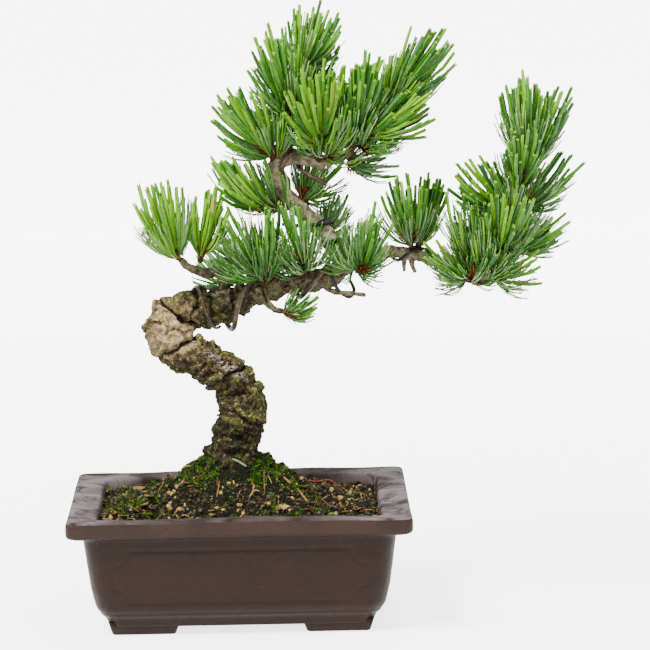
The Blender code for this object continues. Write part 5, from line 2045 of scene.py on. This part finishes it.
    def build(self) -> None:
        """Builds and dresses all needles, shoots and scales."""
        finishes = Green.materials()
        barks = ShootBark.materials()
        angle = np.linspace(0, 2 * math.pi, self.stem_sides, endpoint=False)
        bundles = 0
        for grove, masses in GROVES.items():
            green, wood = Stock(), Stock()
            for draw, light, airy, *shoots in masses.values():
                rule = default_rng(self.seed + 31 * draw)
                first = None
                for shoot in [Shoot(*row) for row in shoots]:
                    finer = shoot.bearer == "twig"
                    course = self.stem(shoot, first)
                    first = course if first is None else first
                    run = distance_along(course)[:, None]
                    knobs = 0.14 * np.sin(run * 2.1 + angle * 2) + 0.1 * np.sin(run * 3.7 - angle)
                    wood.tubes(course, self.stem_sides, 0, course[:, 3:4] + knobs)
                    rows = self.bundle_rows(course, shoot, rule, airy or finer)
                    self.add_needles(green, self.needles(rows, rule, airy or finer, light))
                    self.add_scales(wood, course, rule, self.side_scales if finer else self.scales)
                    bundles += len(rows)
            nodes = [f"foliage_{name}" for name in masses]
            settle(green.piece(f"needles_{grove}", finishes, smooth=False), "needles", nodes)
            settle(wood.piece(f"shoots_{grove}", barks), "bark")
        LOG.info("%d bundles of needles", bundles)


@dataclass
class Studio:
    """Camera, pale floor and soft light, with its places in metres."""

    lens: float = 180.66
    sensor: float = 36.0
    eye: tuple = (0.01783816, -1.71534835, 0.41645451)
    forward: tuple = (0.0167562, 0.98852197, -0.1501451)
    roll: float = -0.8424
    floor_half: float = 16.0
    glow_reach: tuple = (160.0, 1700.0)
    near_glow: float = 2.7
    far_glow: float = 6.0
    sky: float = 1.5
    # Lamps: name, place, width and power
    lamps: tuple = (("key", (-0.8, -0.85, 1.6), 0.8, 98.0), ("fill", (1.3, -0.9, 0.9), 1.2, 12.0),
                    ("back", (0.4, 1.2, 1.6), 1.0, 26.0))
    lamp_target: tuple = (0, 0, 0.15)

    def camera(self) -> None:
        """Sets the camera at the photograph's viewing angle."""
        forward = unit(np.array(self.forward))
        right = unit(np.cross(forward, UP))
        upward = np.cross(right, forward)
        roll = math.radians(self.roll)
        across = right * math.cos(roll) + upward * math.sin(roll)
        upright = -right * math.sin(roll) + upward * math.cos(roll)
        data = bpy.data.cameras.new("camera")
        data.lens = self.lens
        data.sensor_width = self.sensor
        data.clip_end = 20
        eye = bpy.data.objects.new("camera", data)
        bpy.context.scene.collection.objects.link(eye)
        turn = Matrix((across, upright, -forward)).transposed().to_4x4()
        place = np.array(self.eye) + POT_MIDDLE * (1, 1, 0)
        eye.matrix_world = Matrix.Translation(Vector(place)) @ turn
        bpy.context.scene.camera = eye

    def floor_finish(self) -> Material:
        """White card that glows as painted light, brighter away from the pot.

        Returns:
            The material.
        """
        finish = Shading("floor_pale", 0.9, 0.05)
        cloud = finish.noise(0.01, 2)
        finish.colour(finish.blend(cloud, (252, 252, 252), (249, 249, 249)))
        reach = finish.node("VectorMath", {0: finish.place}, operation="LENGTH").outputs["Value"]
        glow = finish.node("MapRange", {
            "Value": reach, "From Min": self.glow_reach[0], "From Max": self.glow_reach[1],
            "To Min": self.near_glow, "To Max": self.far_glow})
        finish.put(finish.shader, {"Emission Color": (1, 1, 1, 1),
                                   "Emission Strength": glow.outputs["Result"]})
        return finish.material

    def lamp(self, name: str, place: tuple, size: float, power: float) -> None:
        """Adds one soft lamp that looks at the plant.

        Args:
            name: Name of the lamp.
            place: Its place in metres.
            size: Its width in metres.
            power: Its power in watts.
        """
        data = bpy.data.lights.new(name, "AREA")
        data.shape = "DISK"
        data.size = size
        data.energy = power
        lamp = bpy.data.objects.new(name, data)
        lamp.location = place
        way = Vector(self.lamp_target) - Vector(place)
        lamp.rotation_euler = way.to_track_quat("-Z", "Y").to_euler()
        bpy.context.scene.collection.objects.link(lamp)

    def build(self) -> None:
        """Builds the whole setting."""
        self.camera()
        stock = Stock()
        corners = np.array(((-1, -1, 0), (1, -1, 0), (1, 1, 0), (-1, 1, 0))) * self.floor_half
        stock.add(corners, np.array(((0, 1, 2, 3),)))
        floor = stock.piece("floor", [self.floor_finish()], metres=True)
        floor.visible_diffuse = False
        world = bpy.data.worlds.new("studio")
        world.use_nodes = True
        sky = world.node_tree.nodes["Background"]
        sky.inputs["Color"].default_value = (1, 1, 1, 1)
        sky.inputs["Strength"].default_value = self.sky
        bpy.context.scene.world = world
        for lamp in self.lamps:
            self.lamp(*lamp)


def main() -> None:
    """Builds every piece in order."""
    logging.basicConfig(level=logging.INFO, format="%(name)s: %(message)s")
    Studio().build()
    Pot().build()
    Soil().build()
    limbs = Limbs()
    limbs.build()
    Wires(limbs).build()
    Foliage(limbs).build()


if __name__ == "__main__":
    main()
